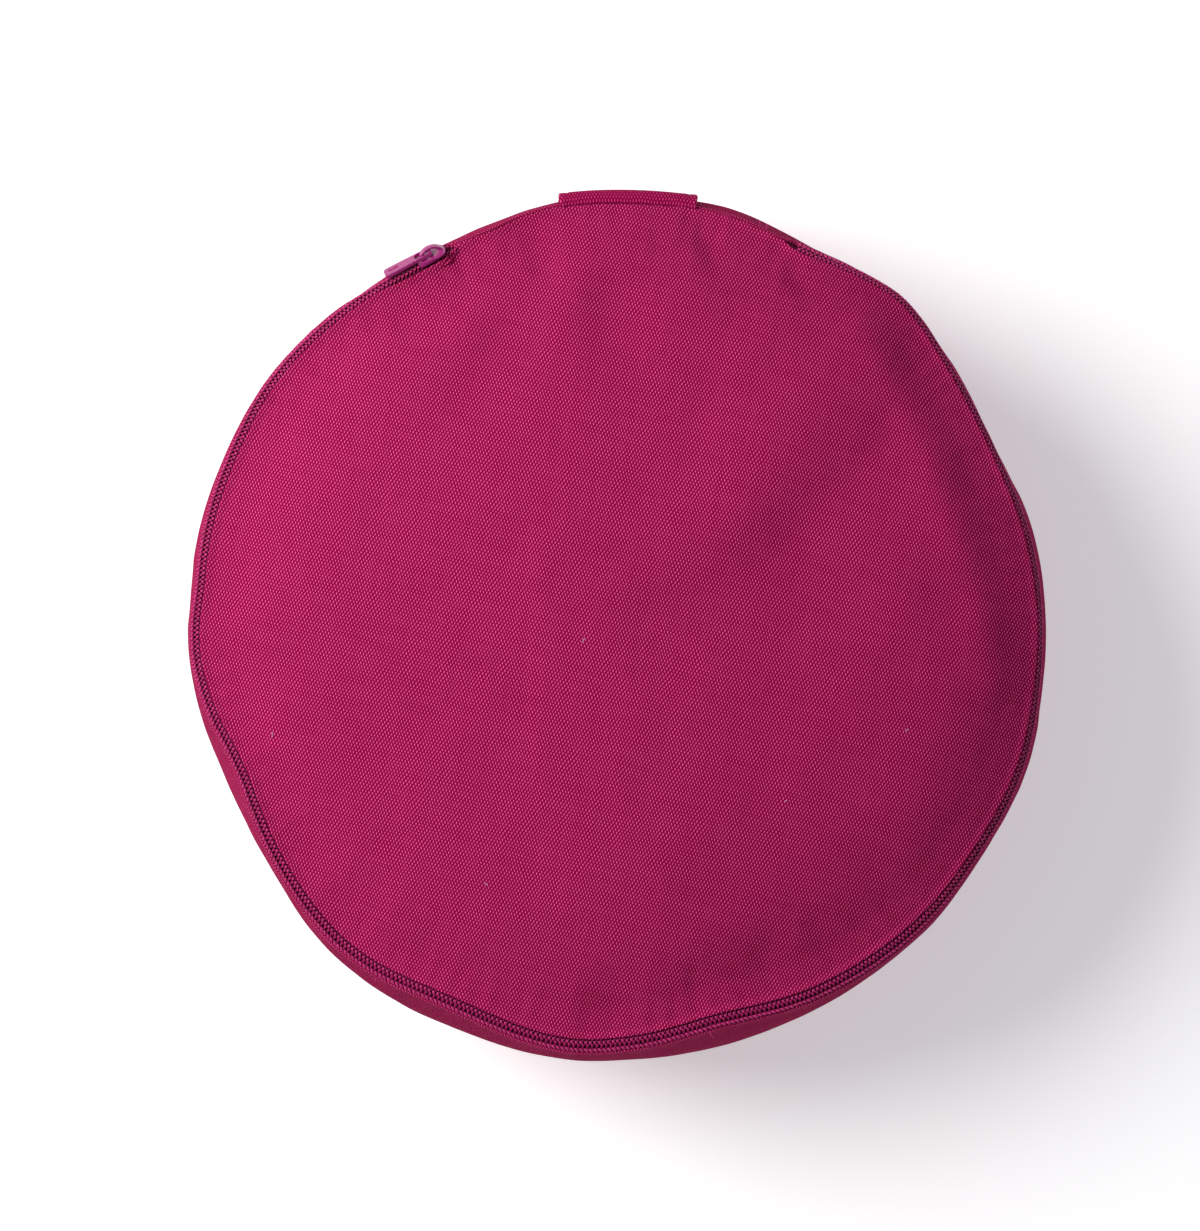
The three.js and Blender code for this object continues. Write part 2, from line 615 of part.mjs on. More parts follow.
// The seam's own axes at an angle, as a group that the slider is placed in.
function seamGroup(atDeg) {
  const angle = rad(atDeg);
  const seam = upperSeam(angle);
  const out = standUp(seam.out, angle);
  const along = new THREE.Vector3(Math.sin(angle), -Math.cos(angle), 0);
  const axes = new THREE.Matrix4().makeBasis(along, out.clone().cross(along), out);
  const holder = new THREE.Group();
  holder.position.copy(standUp(seam.middle, angle));
  holder.quaternion.setFromRotationMatrix(axes);
  return holder;
}

const group = new THREE.Group();

function addPiece(parent, name, geometry, colour, roughness, metalness = 0) {
  const material = new THREE.MeshStandardMaterial({ color: colour, roughness, metalness });
  const mesh = new THREE.Mesh(geometry, material);
  mesh.name = name;
  parent.add(mesh);
  return mesh;
}

addPiece(group, 'side_band', sideBand(), CLOTH_COLOUR, 0.9);
addPiece(group, 'top_panel', topPanel(), CLOTH_COLOUR, 0.9);
addPiece(group, 'bottom_panel', bottomPanel(), CLOTH_COLOUR, 0.9);
addPiece(group, 'zip_coil_inner', coil(-1), COIL_COLOUR, 0.6);
addPiece(group, 'zip_coil_outer', coil(1), COIL_COLOUR, 0.6);
addPiece(group, 'handle', strap(), CLOTH_COLOUR, 0.9);

const sliderGroup = seamGroup(SLIDER_DEG);
addPiece(sliderGroup, 'zip_slider', slider(), ENAMEL_COLOUR, 0.3);
const pull = addPiece(sliderGroup, 'zip_pull', pullTab(), ENAMEL_COLOUR, 0.3);
const rearLeg = -SLIDER_LENGTH * 0.4 + BRIDGE_BAR * 0.55;
pull.position.set(rearLeg, 0, SLIDER_INSIDE + SLIDER_PLATE + BRIDGE_CLEAR * 0.42);
pull.rotation.set(0, rad(-PULL_DIP_DEG), rad(-PULL_SWING_DEG), 'ZYX');
group.add(sliderGroup);

export default group;
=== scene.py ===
"""A round canvas meditation cushion over its packed frame: the woven cover, the coil zip round its upper
seam with its enamelled slider, and the carrying strap. Lengths inside the functions are millimetres."""

import math

import bmesh
import bpy
import numpy as np
from bpy.props import FloatProperty, FloatVectorProperty, PointerProperty
from mathutils import Matrix, Vector


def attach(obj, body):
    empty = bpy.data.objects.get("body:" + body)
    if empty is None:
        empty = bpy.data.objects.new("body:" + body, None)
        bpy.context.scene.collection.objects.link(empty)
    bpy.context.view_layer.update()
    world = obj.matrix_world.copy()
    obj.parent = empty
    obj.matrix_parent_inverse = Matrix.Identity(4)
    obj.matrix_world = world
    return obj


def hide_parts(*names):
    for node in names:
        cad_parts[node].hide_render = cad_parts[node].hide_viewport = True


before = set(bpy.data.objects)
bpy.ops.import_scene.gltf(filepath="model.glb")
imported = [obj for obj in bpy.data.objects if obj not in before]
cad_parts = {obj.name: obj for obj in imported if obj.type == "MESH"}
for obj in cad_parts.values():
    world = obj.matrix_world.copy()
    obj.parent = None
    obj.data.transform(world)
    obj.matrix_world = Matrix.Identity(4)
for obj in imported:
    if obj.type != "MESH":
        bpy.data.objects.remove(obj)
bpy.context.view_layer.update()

bl_info = {
    "name": "Meditation cushion cover",
    "version": (1, 0, 0),
    "blender": (4, 5, 0),
    "location": "3D View > Sidebar > Cushion",
    "description": "Dresses a round cushion with woven canvas, a coil zip and a carrying strap",
    "category": "Object",
}

MM = 0.001
TAU = 2 * math.pi
BODY = "root"

# ---- the frame's rim ----

SECTIONS = 80  # the turned nodes' sections round the cushion
RIM_SHARE = 0.965  # corners further out than this share of the edge belong to a seam
TURN = 0.3  # how far a turned edge rounds off
CLOTH_OVER = 1.21  # from a seam's middle to the outer face of its panel
WIDEST_HEIGHT = 70  # height of the band's widest ring
CROWN_HEIGHT = 150
REST_RADIUS = 118  # flat part of the underside
DOME_POWER = 2.05  # profile of the dome, low for round and high for flat with a steep rim
STEEP_POWER = 1.5  # what is added to it on the steep side
STEEP_SIDE_DEG = 5
LOCAL_POWER = 9  # how fast the seam's own ups and downs fade away from it
CALM_SECTIONS = 9  # sections on either side over which the outline evens out towards the middle
BAND_ROUNDNESS = 2.2
BAND_TURN = 0.79  # from the band's edge to where its face starts, across and out
CLOSED_HALF = 0.52  # half width of the seam where it is closed past the ends of the zip
# Where the seam is closed past an end of the zip, which way round it stays closed, and over how many
# degrees it closes.
ZIP_CLOSED_DEG = ((113.3, -1, 2.2), (67.4, 1, 2.4))
CLOSED_REACH_DEG = 15  # how far to each side of such a place its row holds

# Where the upper seam faces further up than its solid: the place round the rim, the turn and how far it
# then lies further in.
OPENING = (
    (0, 0, 0), (8, 4, 0.1), (25, 8, 0.3), (36, 13, 0.5), (49, 16, 0.7), (58, 12, 0.5), (66, 8, 0.3),
    (74, 10, 0.5), (82, 6, 0.3), (98, 6, 0.3), (104, 14, 0.9), (108, 13, 0.8), (112.5, 1, 0.1), (115, 0, 0),
    (360, 0, 0),
)


def node_corners(node):
    """Different corners of a frame node."""
    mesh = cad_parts[node].data
    corners = np.empty(len(mesh.vertices) * 3)
    mesh.vertices.foreach_get("co", corners)
    return np.unique(np.round(corners.reshape(-1, 3) / MM, 3), axis=0)


def sections(node):
    """Corners of a turned node as (radius, height) rows, one array for each of its angles."""
    corners = node_corners(node)
    radius = np.hypot(corners[:, 0], corners[:, 1])
    step = np.round(np.arctan2(corners[:, 1], corners[:, 0]) / TAU * SECTIONS).astype(int) % SECTIONS
    flat = np.column_stack((radius, corners[:, 2]))
    return [flat[(step == k) & (radius > 1)] for k in range(SECTIONS)]


def around(values, angles):
    """Smooth closed curve through values given at equal steps round the cushion."""
    count = len(values)
    place = (np.asarray(angles) / TAU % 1.0) * count
    step = np.floor(place).astype(int)
    t = (place - step).reshape(place.shape + (1,) * (values.ndim - 1))
    a, b, c, d = (values[(step + shift) % count] for shift in (-1, 0, 1, 2))
    return 0.5 * (2 * b + (c - a) * t + (2 * a - 5 * b + 4 * c - d) * t**2 + (3 * b - a - 3 * c + d) * t**3)


def through(knots, rows, at):
    """Smooth curves along the last axis of rows, which are given at rising knots."""
    slopes = np.gradient(rows, knots, axis=-1)
    i = np.clip(np.searchsorted(knots, at) - 1, 0, len(knots) - 2)
    span = knots[i + 1] - knots[i]
    t = (at - knots[i]) / span
    return (
        (1 + 2 * t) * (1 - t) ** 2 * rows[..., i]
        + t * (1 - t) ** 2 * span * slopes[..., i]
        + t * t * (3 - 2 * t) * rows[..., i + 1]
        + t * t * (t - 1) * span * slopes[..., i + 1]
    )


def unit(vectors):
    return vectors / np.linalg.norm(vectors, axis=-1, keepdims=True)


def eased(t):
    """Smooth step from 0 to 1."""
    return t * t * (3 - 2 * t)


def grown(value, start, stretch, power=1):
    """0 up to the start, then rising to 1 over a stretch."""
    return np.clip((value - start) / stretch, 0, 1) ** power


def ring(columns):
    """Equal angles round the cushion."""
    return TAU * np.arange(columns) / columns


def walked(points):
    """Distance walked along a row of points, at each of them."""
    return np.concatenate(([0], np.cumsum(np.linalg.norm(np.diff(points, axis=0), axis=-1))))


def stand(flat, angles):
    """Points in space from (radius, height) rows and their angles."""
    angles = np.asarray(angles)
    return np.stack((flat[..., 0] * np.cos(angles), flat[..., 0] * np.sin(angles), flat[..., 1]), axis=-1)


class Seam:
    """A seam round the cushion: its middle, the ways across it (to the band) and out of it, and its
    half width, for each section of the frame."""

    def __init__(self, outer, inner, lip, floor_in, floor_out):
        self.out = unit(outer - inner)
        turned = np.stack((self.out[:, 1], -self.out[:, 0]), axis=-1)
        self.across = turned * np.sign(np.sum(turned * (lip - outer), axis=-1, keepdims=True))
        self.half = (np.sum((floor_out - floor_in) * self.across, axis=-1) - TURN) / 2
        self.middle = lip + self.across * self.half[:, None]
        self.floor = np.sum((floor_out - self.middle) * self.out, axis=-1)

    def open_up(self, table):
        """Turn the seam to face further up, and move it in, as a table of places round it says."""
        at, turn, inset = np.array(table).T
        places = np.arange(SECTIONS) * 360 / SECTIONS
        turn = np.radians(np.interp(places, at, turn))
        cos, sin = np.cos(turn), np.sin(turn)
        for name in ("across", "out"):
            x, z = getattr(self, name).T
            setattr(self, name, np.stack((x * cos - z * sin, x * sin + z * cos), axis=-1))
        self.middle[:, 0] -= np.interp(places, at, inset)

    def half_at(self, angles):
        """Half width of the seam. It closes right past the ends of the zip."""
        half = around(self.half, angles)
        places = np.degrees(angles) % 360
        for closed, way, turn in ZIP_CLOSED_DEG:
            closing = eased(np.clip((places - closed) * way / turn + 1, 0, 1))
            narrowed = half + (np.minimum(half, CLOSED_HALF) - half) * closing
            half = np.where(np.abs(places - closed) < CLOSED_REACH_DEG, narrowed, half)
        return half

    def point(self, angles, across, out, edge=0):
        """A point across and out of the seam. `edge` counts half widths before `across` is added."""
        half = self.half_at(angles)
        way_across, way_out = unit(around(self.across, angles)), unit(around(self.out, angles))
        shift = (edge * half + across)[..., None] * way_across + np.asarray(out)[..., None] * way_out
        return around(self.middle, angles) + shift


class Rim:
    """Both seams and the widest ring, read from the frame's nodes."""

    def __init__(self):
        top, band, base = sections("top_panel"), sections("side_band"), sections("bottom_panel")
        upper, lower, widest, edge = [], [], [], []
        for k in range(SECTIONS):
            lid = top[k][top[k][:, 0] > RIM_SHARE * top[k][:, 0].max()]
            lid = np.array([lid[lid[:, 1].argmax()], *sorted(np.delete(lid, lid[:, 1].argmax(), 0).tolist())])
            floor = base[k][base[k][:, 0] > RIM_SHARE * base[k][:, 0].max()]
            floor = np.array(
                [floor[floor[:, 1].argmin()], *sorted(np.delete(floor, floor[:, 1].argmin(), 0).tolist())])
            wall = band[k][band[k][:, 0] > RIM_SHARE * lid[0, 0]]
            wall = wall[np.argsort(wall[:, 0])]
            above = wall[wall[:, 1] > WIDEST_HEIGHT + 1]
            below = wall[wall[:, 1] < WIDEST_HEIGHT - 1]
            level = wall[np.abs(wall[:, 1] - WIDEST_HEIGHT) < 1]
            upper.append((lid[0], lid[1], lid[2], above[0], above[1]))
            lower.append((floor[0], floor[1], floor[2], below[0], below[1]))
            edge.append((lid[0], floor[0], above[3], below[3]))
            widest.append(level[0, 0])
        self.upper = Seam(*np.array(upper).transpose(1, 0, 2))
        self.lower = Seam(*np.array(lower).transpose(1, 0, 2))
        self.top_edge, self.base_edge, self.band_top, self.band_foot = np.array(edge).transpose(1, 0, 2)
        self.upper.open_up(OPENING)
        places = ring(SECTIONS)
        self.top_edge = self.upper.point(places, -TURN, CLOTH_OVER, edge=-1)
        self.band_top = self.upper.point(places, BAND_TURN, BAND_TURN, edge=1)
        self.widest = np.array(widest)
        turns = range(-CALM_SECTIONS, CALM_SECTIONS + 1)
        self.calm_edge = np.mean([np.roll(self.top_edge, turn, axis=0) for turn in turns], axis=0)

    def dome(self, angles, share):
        """Upper face of the cushion without its folds, at a share of the way to the edge."""
        edge = around(self.top_edge, angles)
        calm = around(self.calm_edge, angles)
        even = share * (1 + (edge[..., 0] / calm[..., 0] - 1) * (1 - share**2))
        steep = ((1 + np.cos(angles - math.radians(STEEP_SIDE_DEG))) / 2) ** 2
        rise = 1 - even ** (DOME_POWER + STEEP_POWER * steep)
        height = calm[..., 1] + (CROWN_HEIGHT - calm[..., 1]) * rise
        height = height + (edge[..., 1] - calm[..., 1]) * share**LOCAL_POWER
        return np.stack((share * edge[..., 0], height), axis=-1)

    def band(self, angles, step):
        """Outer face of the band: 1 is its upper end, 0 its widest ring and -1 its lower end."""
        upper, lower = around(self.band_top, angles), around(self.band_foot, angles)
        end = np.where(np.asarray(step)[..., None] > 0, upper, lower)
        far = np.abs(step)
        bulge = around(self.widest, angles)
        radius = end[..., 0] + (bulge - end[..., 0]) * (1 - far**BAND_ROUNDNESS)
        return np.stack((radius, WIDEST_HEIGHT + (end[..., 1] - WIDEST_HEIGHT) * far), axis=-1)

    def underside(self, angles, share):
        edge = around(self.base_edge, angles)
        radius = REST_RADIUS + (edge[..., 0] - REST_RADIUS) * share
        return np.stack((radius, edge[..., 1] * share * share), axis=-1)


rim = Rim()

# ---- mesh helpers ----

LATTICE = 64  # cells of the noise along each way, before it repeats
SIDE_BLEND = 2  # how far from a bent line the change from one side to the other is soft


def grid_faces(rows, columns, closed):
    """Quads of a grid whose points are stored row by row. The rows may be closed rings."""
    row, column = np.meshgrid(
        np.arange(rows - 1), np.arange(columns if closed else columns - 1), indexing="ij")
    a, b = row * columns + column, row * columns + (column + 1) % columns
    return np.stack((a, b, b + columns, a + columns), axis=-1).reshape(-1, 4)


def rounded(controls, steps):
    """Smooth rounding of rows of control points, along the first axis."""
    t = (np.arange(steps) / steps).reshape((steps,) + (1,) * (controls.ndim - 1))
    shares = (0.5 * (1 - t) ** 2, 0.5 + t * (1 - t), 0.5 * t**2)
    return np.concatenate([
        sum(share * controls[i + k] for k, share in enumerate(shares)) for i in range(len(controls) - 2)])


def soft_noise(x, y, size, seed):
    """Smooth unevenness between -1 and 1 over a plane, with lumps of about the given size."""
    lattice = np.random.default_rng(seed).uniform(-1, 1, (LATTICE, LATTICE))
    u, v = x / size, y / size
    i, j = np.floor(u).astype(int), np.floor(v).astype(int)
    s, t = eased(u - i), eased(v - j)
    left, right = i % LATTICE, (i + 1) % LATTICE
    near, far = (lattice[left, k % LATTICE] * (1 - s) + lattice[right, k % LATTICE] * s for k in (j, j + 1))
    return near * (1 - t) + far * t


def lumps(x, y, table):
    """Sum of several soft unevennesses, each with its size, seed and share."""
    return sum(soft_noise(x, y, size, seed) * share for size, seed, share in table)


def line_distance(x, y, line):
    """Distance of each point from a bent line, and 1 on the line's left or 0 on its right, with a soft
    change between them."""
    best, side = np.full(np.shape(x), np.inf), np.zeros(np.shape(x))
    for (ax, ay), (bx, by) in zip(line, line[1:]):
        dx, dy = bx - ax, by - ay
        t = np.clip(((x - ax) * dx + (y - ay) * dy) / (dx * dx + dy * dy), 0, 1)
        away = np.hypot(x - ax - t * dx, y - ay - t * dy)
        left = (dx * (y - ay) - dy * (x - ax)) / math.hypot(dx, dy)
        nearer = away < best
        side = np.where(nearer, 0.5 + 0.5 * left / (away + SIDE_BLEND), side)
        best = np.where(nearer, away, best)
    return best, side


def linked(name, data):
    """A new object in the scene."""
    thing = bpy.data.objects.new(name, data)
    bpy.context.scene.collection.objects.link(thing)
    return thing


def add_piece(name, points, faces, material, slot, cloth=None, loop=0.0):
    """A new piece on the cushion. `cloth` holds each point's warp and weft counts and its wear, which is
    below 0 where painted shade cuts back the painted highlights on the threads' crowns, and `loop` the
    warp count of a whole turn where the cloth closes on itself."""
    faces = [list(map(int, face)) for face in faces]
    mesh = bpy.data.meshes.new(name)
    mesh.from_pydata((np.reshape(points, (-1, 3)) * MM).tolist(), [], faces)
    mesh.shade_smooth()
    if cloth is not None:
        cloth = np.reshape(cloth, (-1, 3))
        corners = np.concatenate([cloth[face] for face in faces]) if not loop else cloth[np.array(faces)]
        if loop:
            warp = corners[..., 0]
            apart = warp.max(axis=1, keepdims=True) - warp.min(axis=1, keepdims=True) > loop / 2
            corners[..., 0] = np.where(apart & (warp < loop / 2), warp + loop, warp)
        layer = mesh.attributes.new("cloth", "FLOAT_VECTOR", "CORNER")
        layer.data.foreach_set("vector", corners.reshape(-1).astype(np.float32))
    mesh.materials.append(material)
    piece = linked(name, mesh)
    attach(piece, BODY)
    return piece


def tube(path, radius, sides, lead):
    """Points and faces of a thread along a path. `lead` points away from the path at each of its
    points, and `radius` may change along it."""
    way = unit(np.gradient(path, axis=0))
    first = unit(lead - np.sum(lead * way, axis=-1, keepdims=True) * way)
    second = np.cross(way, first)
    turn = TAU * np.arange(sides) / sides
    ring = first[:, None] * np.cos(turn)[:, None] + second[:, None] * np.sin(turn)[:, None]
    points = path[:, None] + ring * np.broadcast_to(radius, len(path))[:, None, None]
    faces = grid_faces(len(path), sides, True).tolist()
    faces += [list(range(sides))[::-1], [(len(path) - 1) * sides + k for k in range(sides)]]
    return points.reshape(-1, 3), faces


def beads(centres, long_way, wide_way, high_way, size, turns=8, rings=5):
    """Points and faces of many small oval stitches, with half sizes along their three ways."""
    tilt = math.pi * np.arange(1, rings) / rings
    turn = TAU * np.arange(turns) / turns
    body = np.stack((
        np.repeat(np.cos(tilt), turns),
        np.outer(np.sin(tilt), np.cos(turn)).ravel(),
        np.outer(np.sin(tilt), np.sin(turn)).ravel(),
    ), axis=-1)
    shape = np.concatenate(([[1, 0, 0]], body, [[-1, 0, 0]])) * size
    points = centres[:, None] + shape[:, :1] * long_way[:, None] + shape[:, 1:2] * wide_way[:, None]
    points = points + shape[:, 2:] * high_way[:, None]
    faces = [[0, 1 + (k + 1) % turns, 1 + k] for k in range(turns)]
    faces += (grid_faces(rings - 1, turns, True)[:, ::-1] + 1)[:, ::-1].tolist()
    last, foot = len(shape) - 1, 1 + (rings - 2) * turns
    faces += [[last, foot + k, foot + (k + 1) % turns] for k in range(turns)]
    every = [[corner + n * len(shape) for corner in face] for n in range(len(centres)) for face in faces]
    return points.reshape(-1, 3), every


def joined(parts):
    """Several sets of points and faces as one."""
    points, faces, start = [], [], 0
    for some_points, some_faces in parts:
        points.append(some_points)
        faces += [[corner + start for corner in face] for face in some_faces]
        start += len(some_points)
    return np.concatenate(points), faces


# ---- shader helpers ----


class Term:
    """A value in a node tree that can be written in sums."""

    def __init__(self, nodes, socket):
        self.nodes, self.socket = nodes, socket

    def op(self, operation, *values):
        return self.nodes.sum(operation, self, *values)

    def __add__(self, other):
        return self.op("ADD", other)

    def __sub__(self, other):
        return self.op("SUBTRACT", other)

    def __rsub__(self, other):
        return self.nodes.sum("SUBTRACT", other, self)

    def __mul__(self, other):
        return self.op("MULTIPLY", other)


class Nodes:
    """A node tree with short ways to add nodes and to link them."""

    def __init__(self, tree):
        self.tree = tree

    def add(self, kind, inputs=(), **settings):
        node = self.tree.nodes.new(kind)
        for name, value in settings.items():
            setattr(node, name, value)
        for name, value in dict(inputs).items():
            self.feed(node.inputs[name], value)
        return node

    def feed(self, socket, value):
        if isinstance(value, Term):
            value = value.socket
        if isinstance(value, bpy.types.NodeSocket):
            self.tree.links.new(value, socket)
        else:
            socket.default_value = value

    def sum(self, operation, *values, clamp=False):
        node = self.add("ShaderNodeMath", operation=operation, use_clamp=clamp)
        for socket, value in zip(node.inputs, values):
            self.feed(socket, value)
        return Term(self, node.outputs[0])

    def ramp(self, value, low, high, to_low=0.0, to_high=1.0):
        """Smooth step from one value to another."""
        return Term(self, self.add("ShaderNodeMapRange", interpolation_type="SMOOTHSTEP", inputs={
            "Value": value, "From Min": low, "From Max": high, "To Min": to_low, "To Max": to_high,
        }).outputs["Result"])

    def noise(self, vector, scale, detail=2.0):
        return Term(self, self.add("ShaderNodeTexNoise", inputs={
            "Vector": vector, "Scale": scale, "Detail": detail, "Roughness": 0.5,
        }).outputs["Fac"])

    def mix(self, share, first, second, blend="MIX"):
        node = self.add("ShaderNodeMix", data_type="RGBA", blend_type=blend)
        for slot, value in (("Factor", share), (6, first), (7, second)):
            self.feed(node.inputs[slot], value)
        return node.outputs[2]

    def vector(self, x, y, z):
        return self.add("ShaderNodeCombineXYZ", inputs={"X": x, "Y": y, "Z": z}).outputs[0]

    def parts(self, vector):
        """X, Y and Z of a vector."""
        return [Term(self, part) for part in self.add("ShaderNodeSeparateXYZ", inputs={0: vector}).outputs]

    def place(self):
        return self.add("ShaderNodeNewGeometry").outputs["Position"]

    def bump(self, shader, height, distance, strength):
        """Relief on a shader from a height, whose full size is a distance in millimetres."""
        bump = self.add("ShaderNodeBump", inputs={
            "Height": height, "Distance": distance * MM, "Strength": strength,
        })
        self.feed(shader.inputs["Normal"], bump.outputs["Normal"])


def new_group(name, inputs, outputs):
    """A shader node group with named sockets: its tree, the node with its inputs and its output node."""
    tree = bpy.data.node_groups.new(name, "ShaderNodeTree")
    for label, kind, default in inputs:
        socket = tree.interface.new_socket(label, in_out="INPUT", socket_type=kind)
        if default is not None:
            socket.default_value = default
    for label, kind in outputs:
        tree.interface.new_socket(label, in_out="OUTPUT", socket_type=kind)
    return Nodes(tree), tree.nodes.new("NodeGroupInput").outputs, tree.nodes.new("NodeGroupOutput").inputs


WARP_DRIFT = 1.6  # threads by which the weave wanders
WEFT_DRIFT = 1.2
THREAD_ROUNDNESS = 2.4  # power of a thread's rounding across it
FIBRE_RELIEF = 0.2  # height of the fibres, as a share of the threads'


def weave_group():
    """Plain weave from thread counts. Crown marks where a warp thread lies on top, for a painted highlight,
    Body is low in the gaps, for painted shade, Height feeds a bump and Thread varies from thread to thread."""
    name = "Plain weave"
    if name in bpy.data.node_groups:
        return bpy.data.node_groups[name]
    nodes, given, result = new_group(
        name,
        (("Cloth", "NodeSocketVector", None), ("Slub", "NodeSocketFloat", 0.5)),
        (("Crown", "NodeSocketFloat"), ("Body", "NodeSocketFloat"), ("Height", "NodeSocketFloat"),
         ("Thread", "NodeSocketFloat")),
    )
    across, along, _ = nodes.parts(given["Cloth"])
    counts = {
        "warp": across + (nodes.noise(given["Cloth"], 0.09) - 0.5) * WARP_DRIFT,
        "weft": along + (nodes.noise(nodes.vector(along, across, 7.0), 0.07) - 0.5) * WEFT_DRIFT,
    }
    whole, high, sign, wave = {}, {}, {}, {}
    for way, count in counts.items():
        whole[way] = count.op("FLOOR")
        part = count.op("FRACT") - 0.5
        sign[way] = 1.0 - whole[way].op("FLOORED_MODULO", 2.0) * 2.0
        wave[way] = (count * math.pi).op("SINE")
        high[way] = 1.0 - (part * 2.0).op("ABSOLUTE").op("POWER", THREAD_ROUNDNESS)
    lift = sign["warp"] * wave["weft"]
    dip = sign["weft"] * wave["warp"] * -1.0
    warp_thread = nodes.noise(nodes.vector(whole["warp"] * 3.7, 0.0, counts["weft"] * 0.045), 1.0)
    weft_thread = nodes.noise(nodes.vector(whole["weft"] * 5.3, 11.0, counts["warp"] * 0.03), 1.0)
    height = (lift * 0.5 + high["warp"] * 0.5).op("MAXIMUM", dip * 0.32 + high["weft"] * 0.42)
    fibre = nodes.noise(nodes.vector(counts["warp"] * 4.5, counts["weft"], 3.0), 1.5, 3.0)
    top = (lift * 0.5 + 0.5) * (high["warp"] * 0.75 + 0.25)
    slub = Term(nodes, given["Slub"])
    nodes.feed(result["Crown"], nodes.ramp(top + (fibre - 0.5) * 0.25, 0.08, 1.0))
    nodes.feed(result["Height"], height + fibre * FIBRE_RELIEF)
    nodes.feed(result["Body"], nodes.ramp(height + fibre * 0.3, 0.1, 0.95))
    nodes.feed(result["Thread"], (warp_thread - 0.5) * slub + (weft_thread - 0.5) * slub)
    return nodes.tree


def new_material(name, **constants):
    """A material with a Principled shader whose plain values are set on its own sockets."""
    material = bpy.data.materials.new(name)
    material.use_nodes = True
    nodes = Nodes(material.node_tree)
    shader = material.node_tree.nodes["Principled BSDF"]
    for label, value in constants.items():
        shader.inputs[label.replace("_", " ")].default_value = value
    return material, nodes, shader


def colour(values):
    return (*values, 1.0)
CROWN_POWER = 2.9  # how narrow the painted highlights on the crowns of the threads are
BLOTCH_TONE = (0.95, 0.93, 0.95, 1.0)
WORN_SHARE = 0.05  # how far a fully worn edge goes to the worn colour
# Painted shade in the gaps between the tape's ribs.
TAPE_GAP_SHADE_COLOUR = (0.006, 0.0005, 0.002, 1.0)


def canvas_material():
    """Magenta cotton canvas in plain weave, with painted highlights on its warp and painted shade in its
    gaps.
    """
    name = "Magenta canvas"
    if name in bpy.data.materials:
        return bpy.data.materials[name]
    look = bpy.context.scene.cushion_canvas
    material, nodes, shader = new_material(name, Roughness=0.9, Specular_IOR_Level=0.03)
    cloth = nodes.add("ShaderNodeAttribute", attribute_name="cloth").outputs["Vector"]
    weave = nodes.add("ShaderNodeGroup", node_tree=weave_group(), inputs={
        "Cloth": cloth, "Slub": 0.45,
    }).outputs
    _, _, wear_and_shade = nodes.parts(cloth)
    uneven = nodes.sum("ADD", weave["Crown"], Term(nodes, weave["Thread"]) * 0.5, clamp=True)
    # Below 0 the cloth's third count cuts back the painted crown highlight, as painted shade.
    crown_highlight = uneven * nodes.ramp(wear_and_shade, -1.0, 0.0)
    # Painted shade in the gaps between the threads, then a painted highlight on their crowns.
    lit = Term(nodes, weave["Body"]) * 0.55 + nodes.ramp(crown_highlight, 0.0, 0.6) * 0.45
    body = nodes.mix(lit, colour(look.gap_shade_colour), colour(look.thread_colour))
    plain = nodes.mix(crown_highlight.op("POWER", CROWN_POWER), body, colour(look.crown_highlight_colour))
    blotch = nodes.ramp(nodes.noise(nodes.place(), 9.0, 3.0), 0.3, 0.7)
    dyed = nodes.mix(blotch, plain, nodes.mix(1.0, plain, BLOTCH_TONE, "MULTIPLY"))
    worn = nodes.sum("MULTIPLY", wear_and_shade, WORN_SHARE, clamp=True)
    nodes.feed(shader.inputs["Base Color"], nodes.mix(worn, dyed, colour(look.worn_colour)))
    nodes.bump(shader, weave["Height"], 0.2, 0.8)
    nodes.feed(shader.inputs["Roughness"], nodes.ramp(weave["Crown"], 0.0, 1.0, 0.97, 0.8))
    return material


def tape_material():
    """Dark woven zip tape with fine ribs and painted shade in the gaps between them."""
    material, nodes, shader = new_material("Zip tape", Roughness=0.9, Specular_IOR_Level=0.15)
    ribs = nodes.noise(nodes.place(), 900.0)
    look = bpy.context.scene.cushion_zip
    nodes.feed(shader.inputs["Base Color"], nodes.mix(ribs, TAPE_GAP_SHADE_COLOUR, colour(look.tape_colour)))
    nodes.bump(shader, ribs, 0.1, 0.6)
    return material


def thread_material(name, base, roughness=0.5, bright=1.35):
    """Dyed thread or filament with a slight unevenness along it."""
    if name in bpy.data.materials:
        return bpy.data.materials[name]
    material, nodes, shader = new_material(name, Roughness=roughness, Specular_IOR_Level=0.2)
    place = nodes.place()
    lighter = tuple(min(1.0, value * bright) for value in base)
    darker = tuple(value * 0.5 for value in base)
    nodes.feed(shader.inputs["Base Color"], nodes.mix(
        nodes.noise(place, 420.0), colour(darker), colour(lighter)))
    nodes.bump(shader, nodes.noise(place, 3200.0), 0.05, 0.5)
    return material


def sewing_thread():
    return thread_material("Sewing thread", bpy.context.scene.cushion_zip.stitch_colour, 0.6, 1.6)


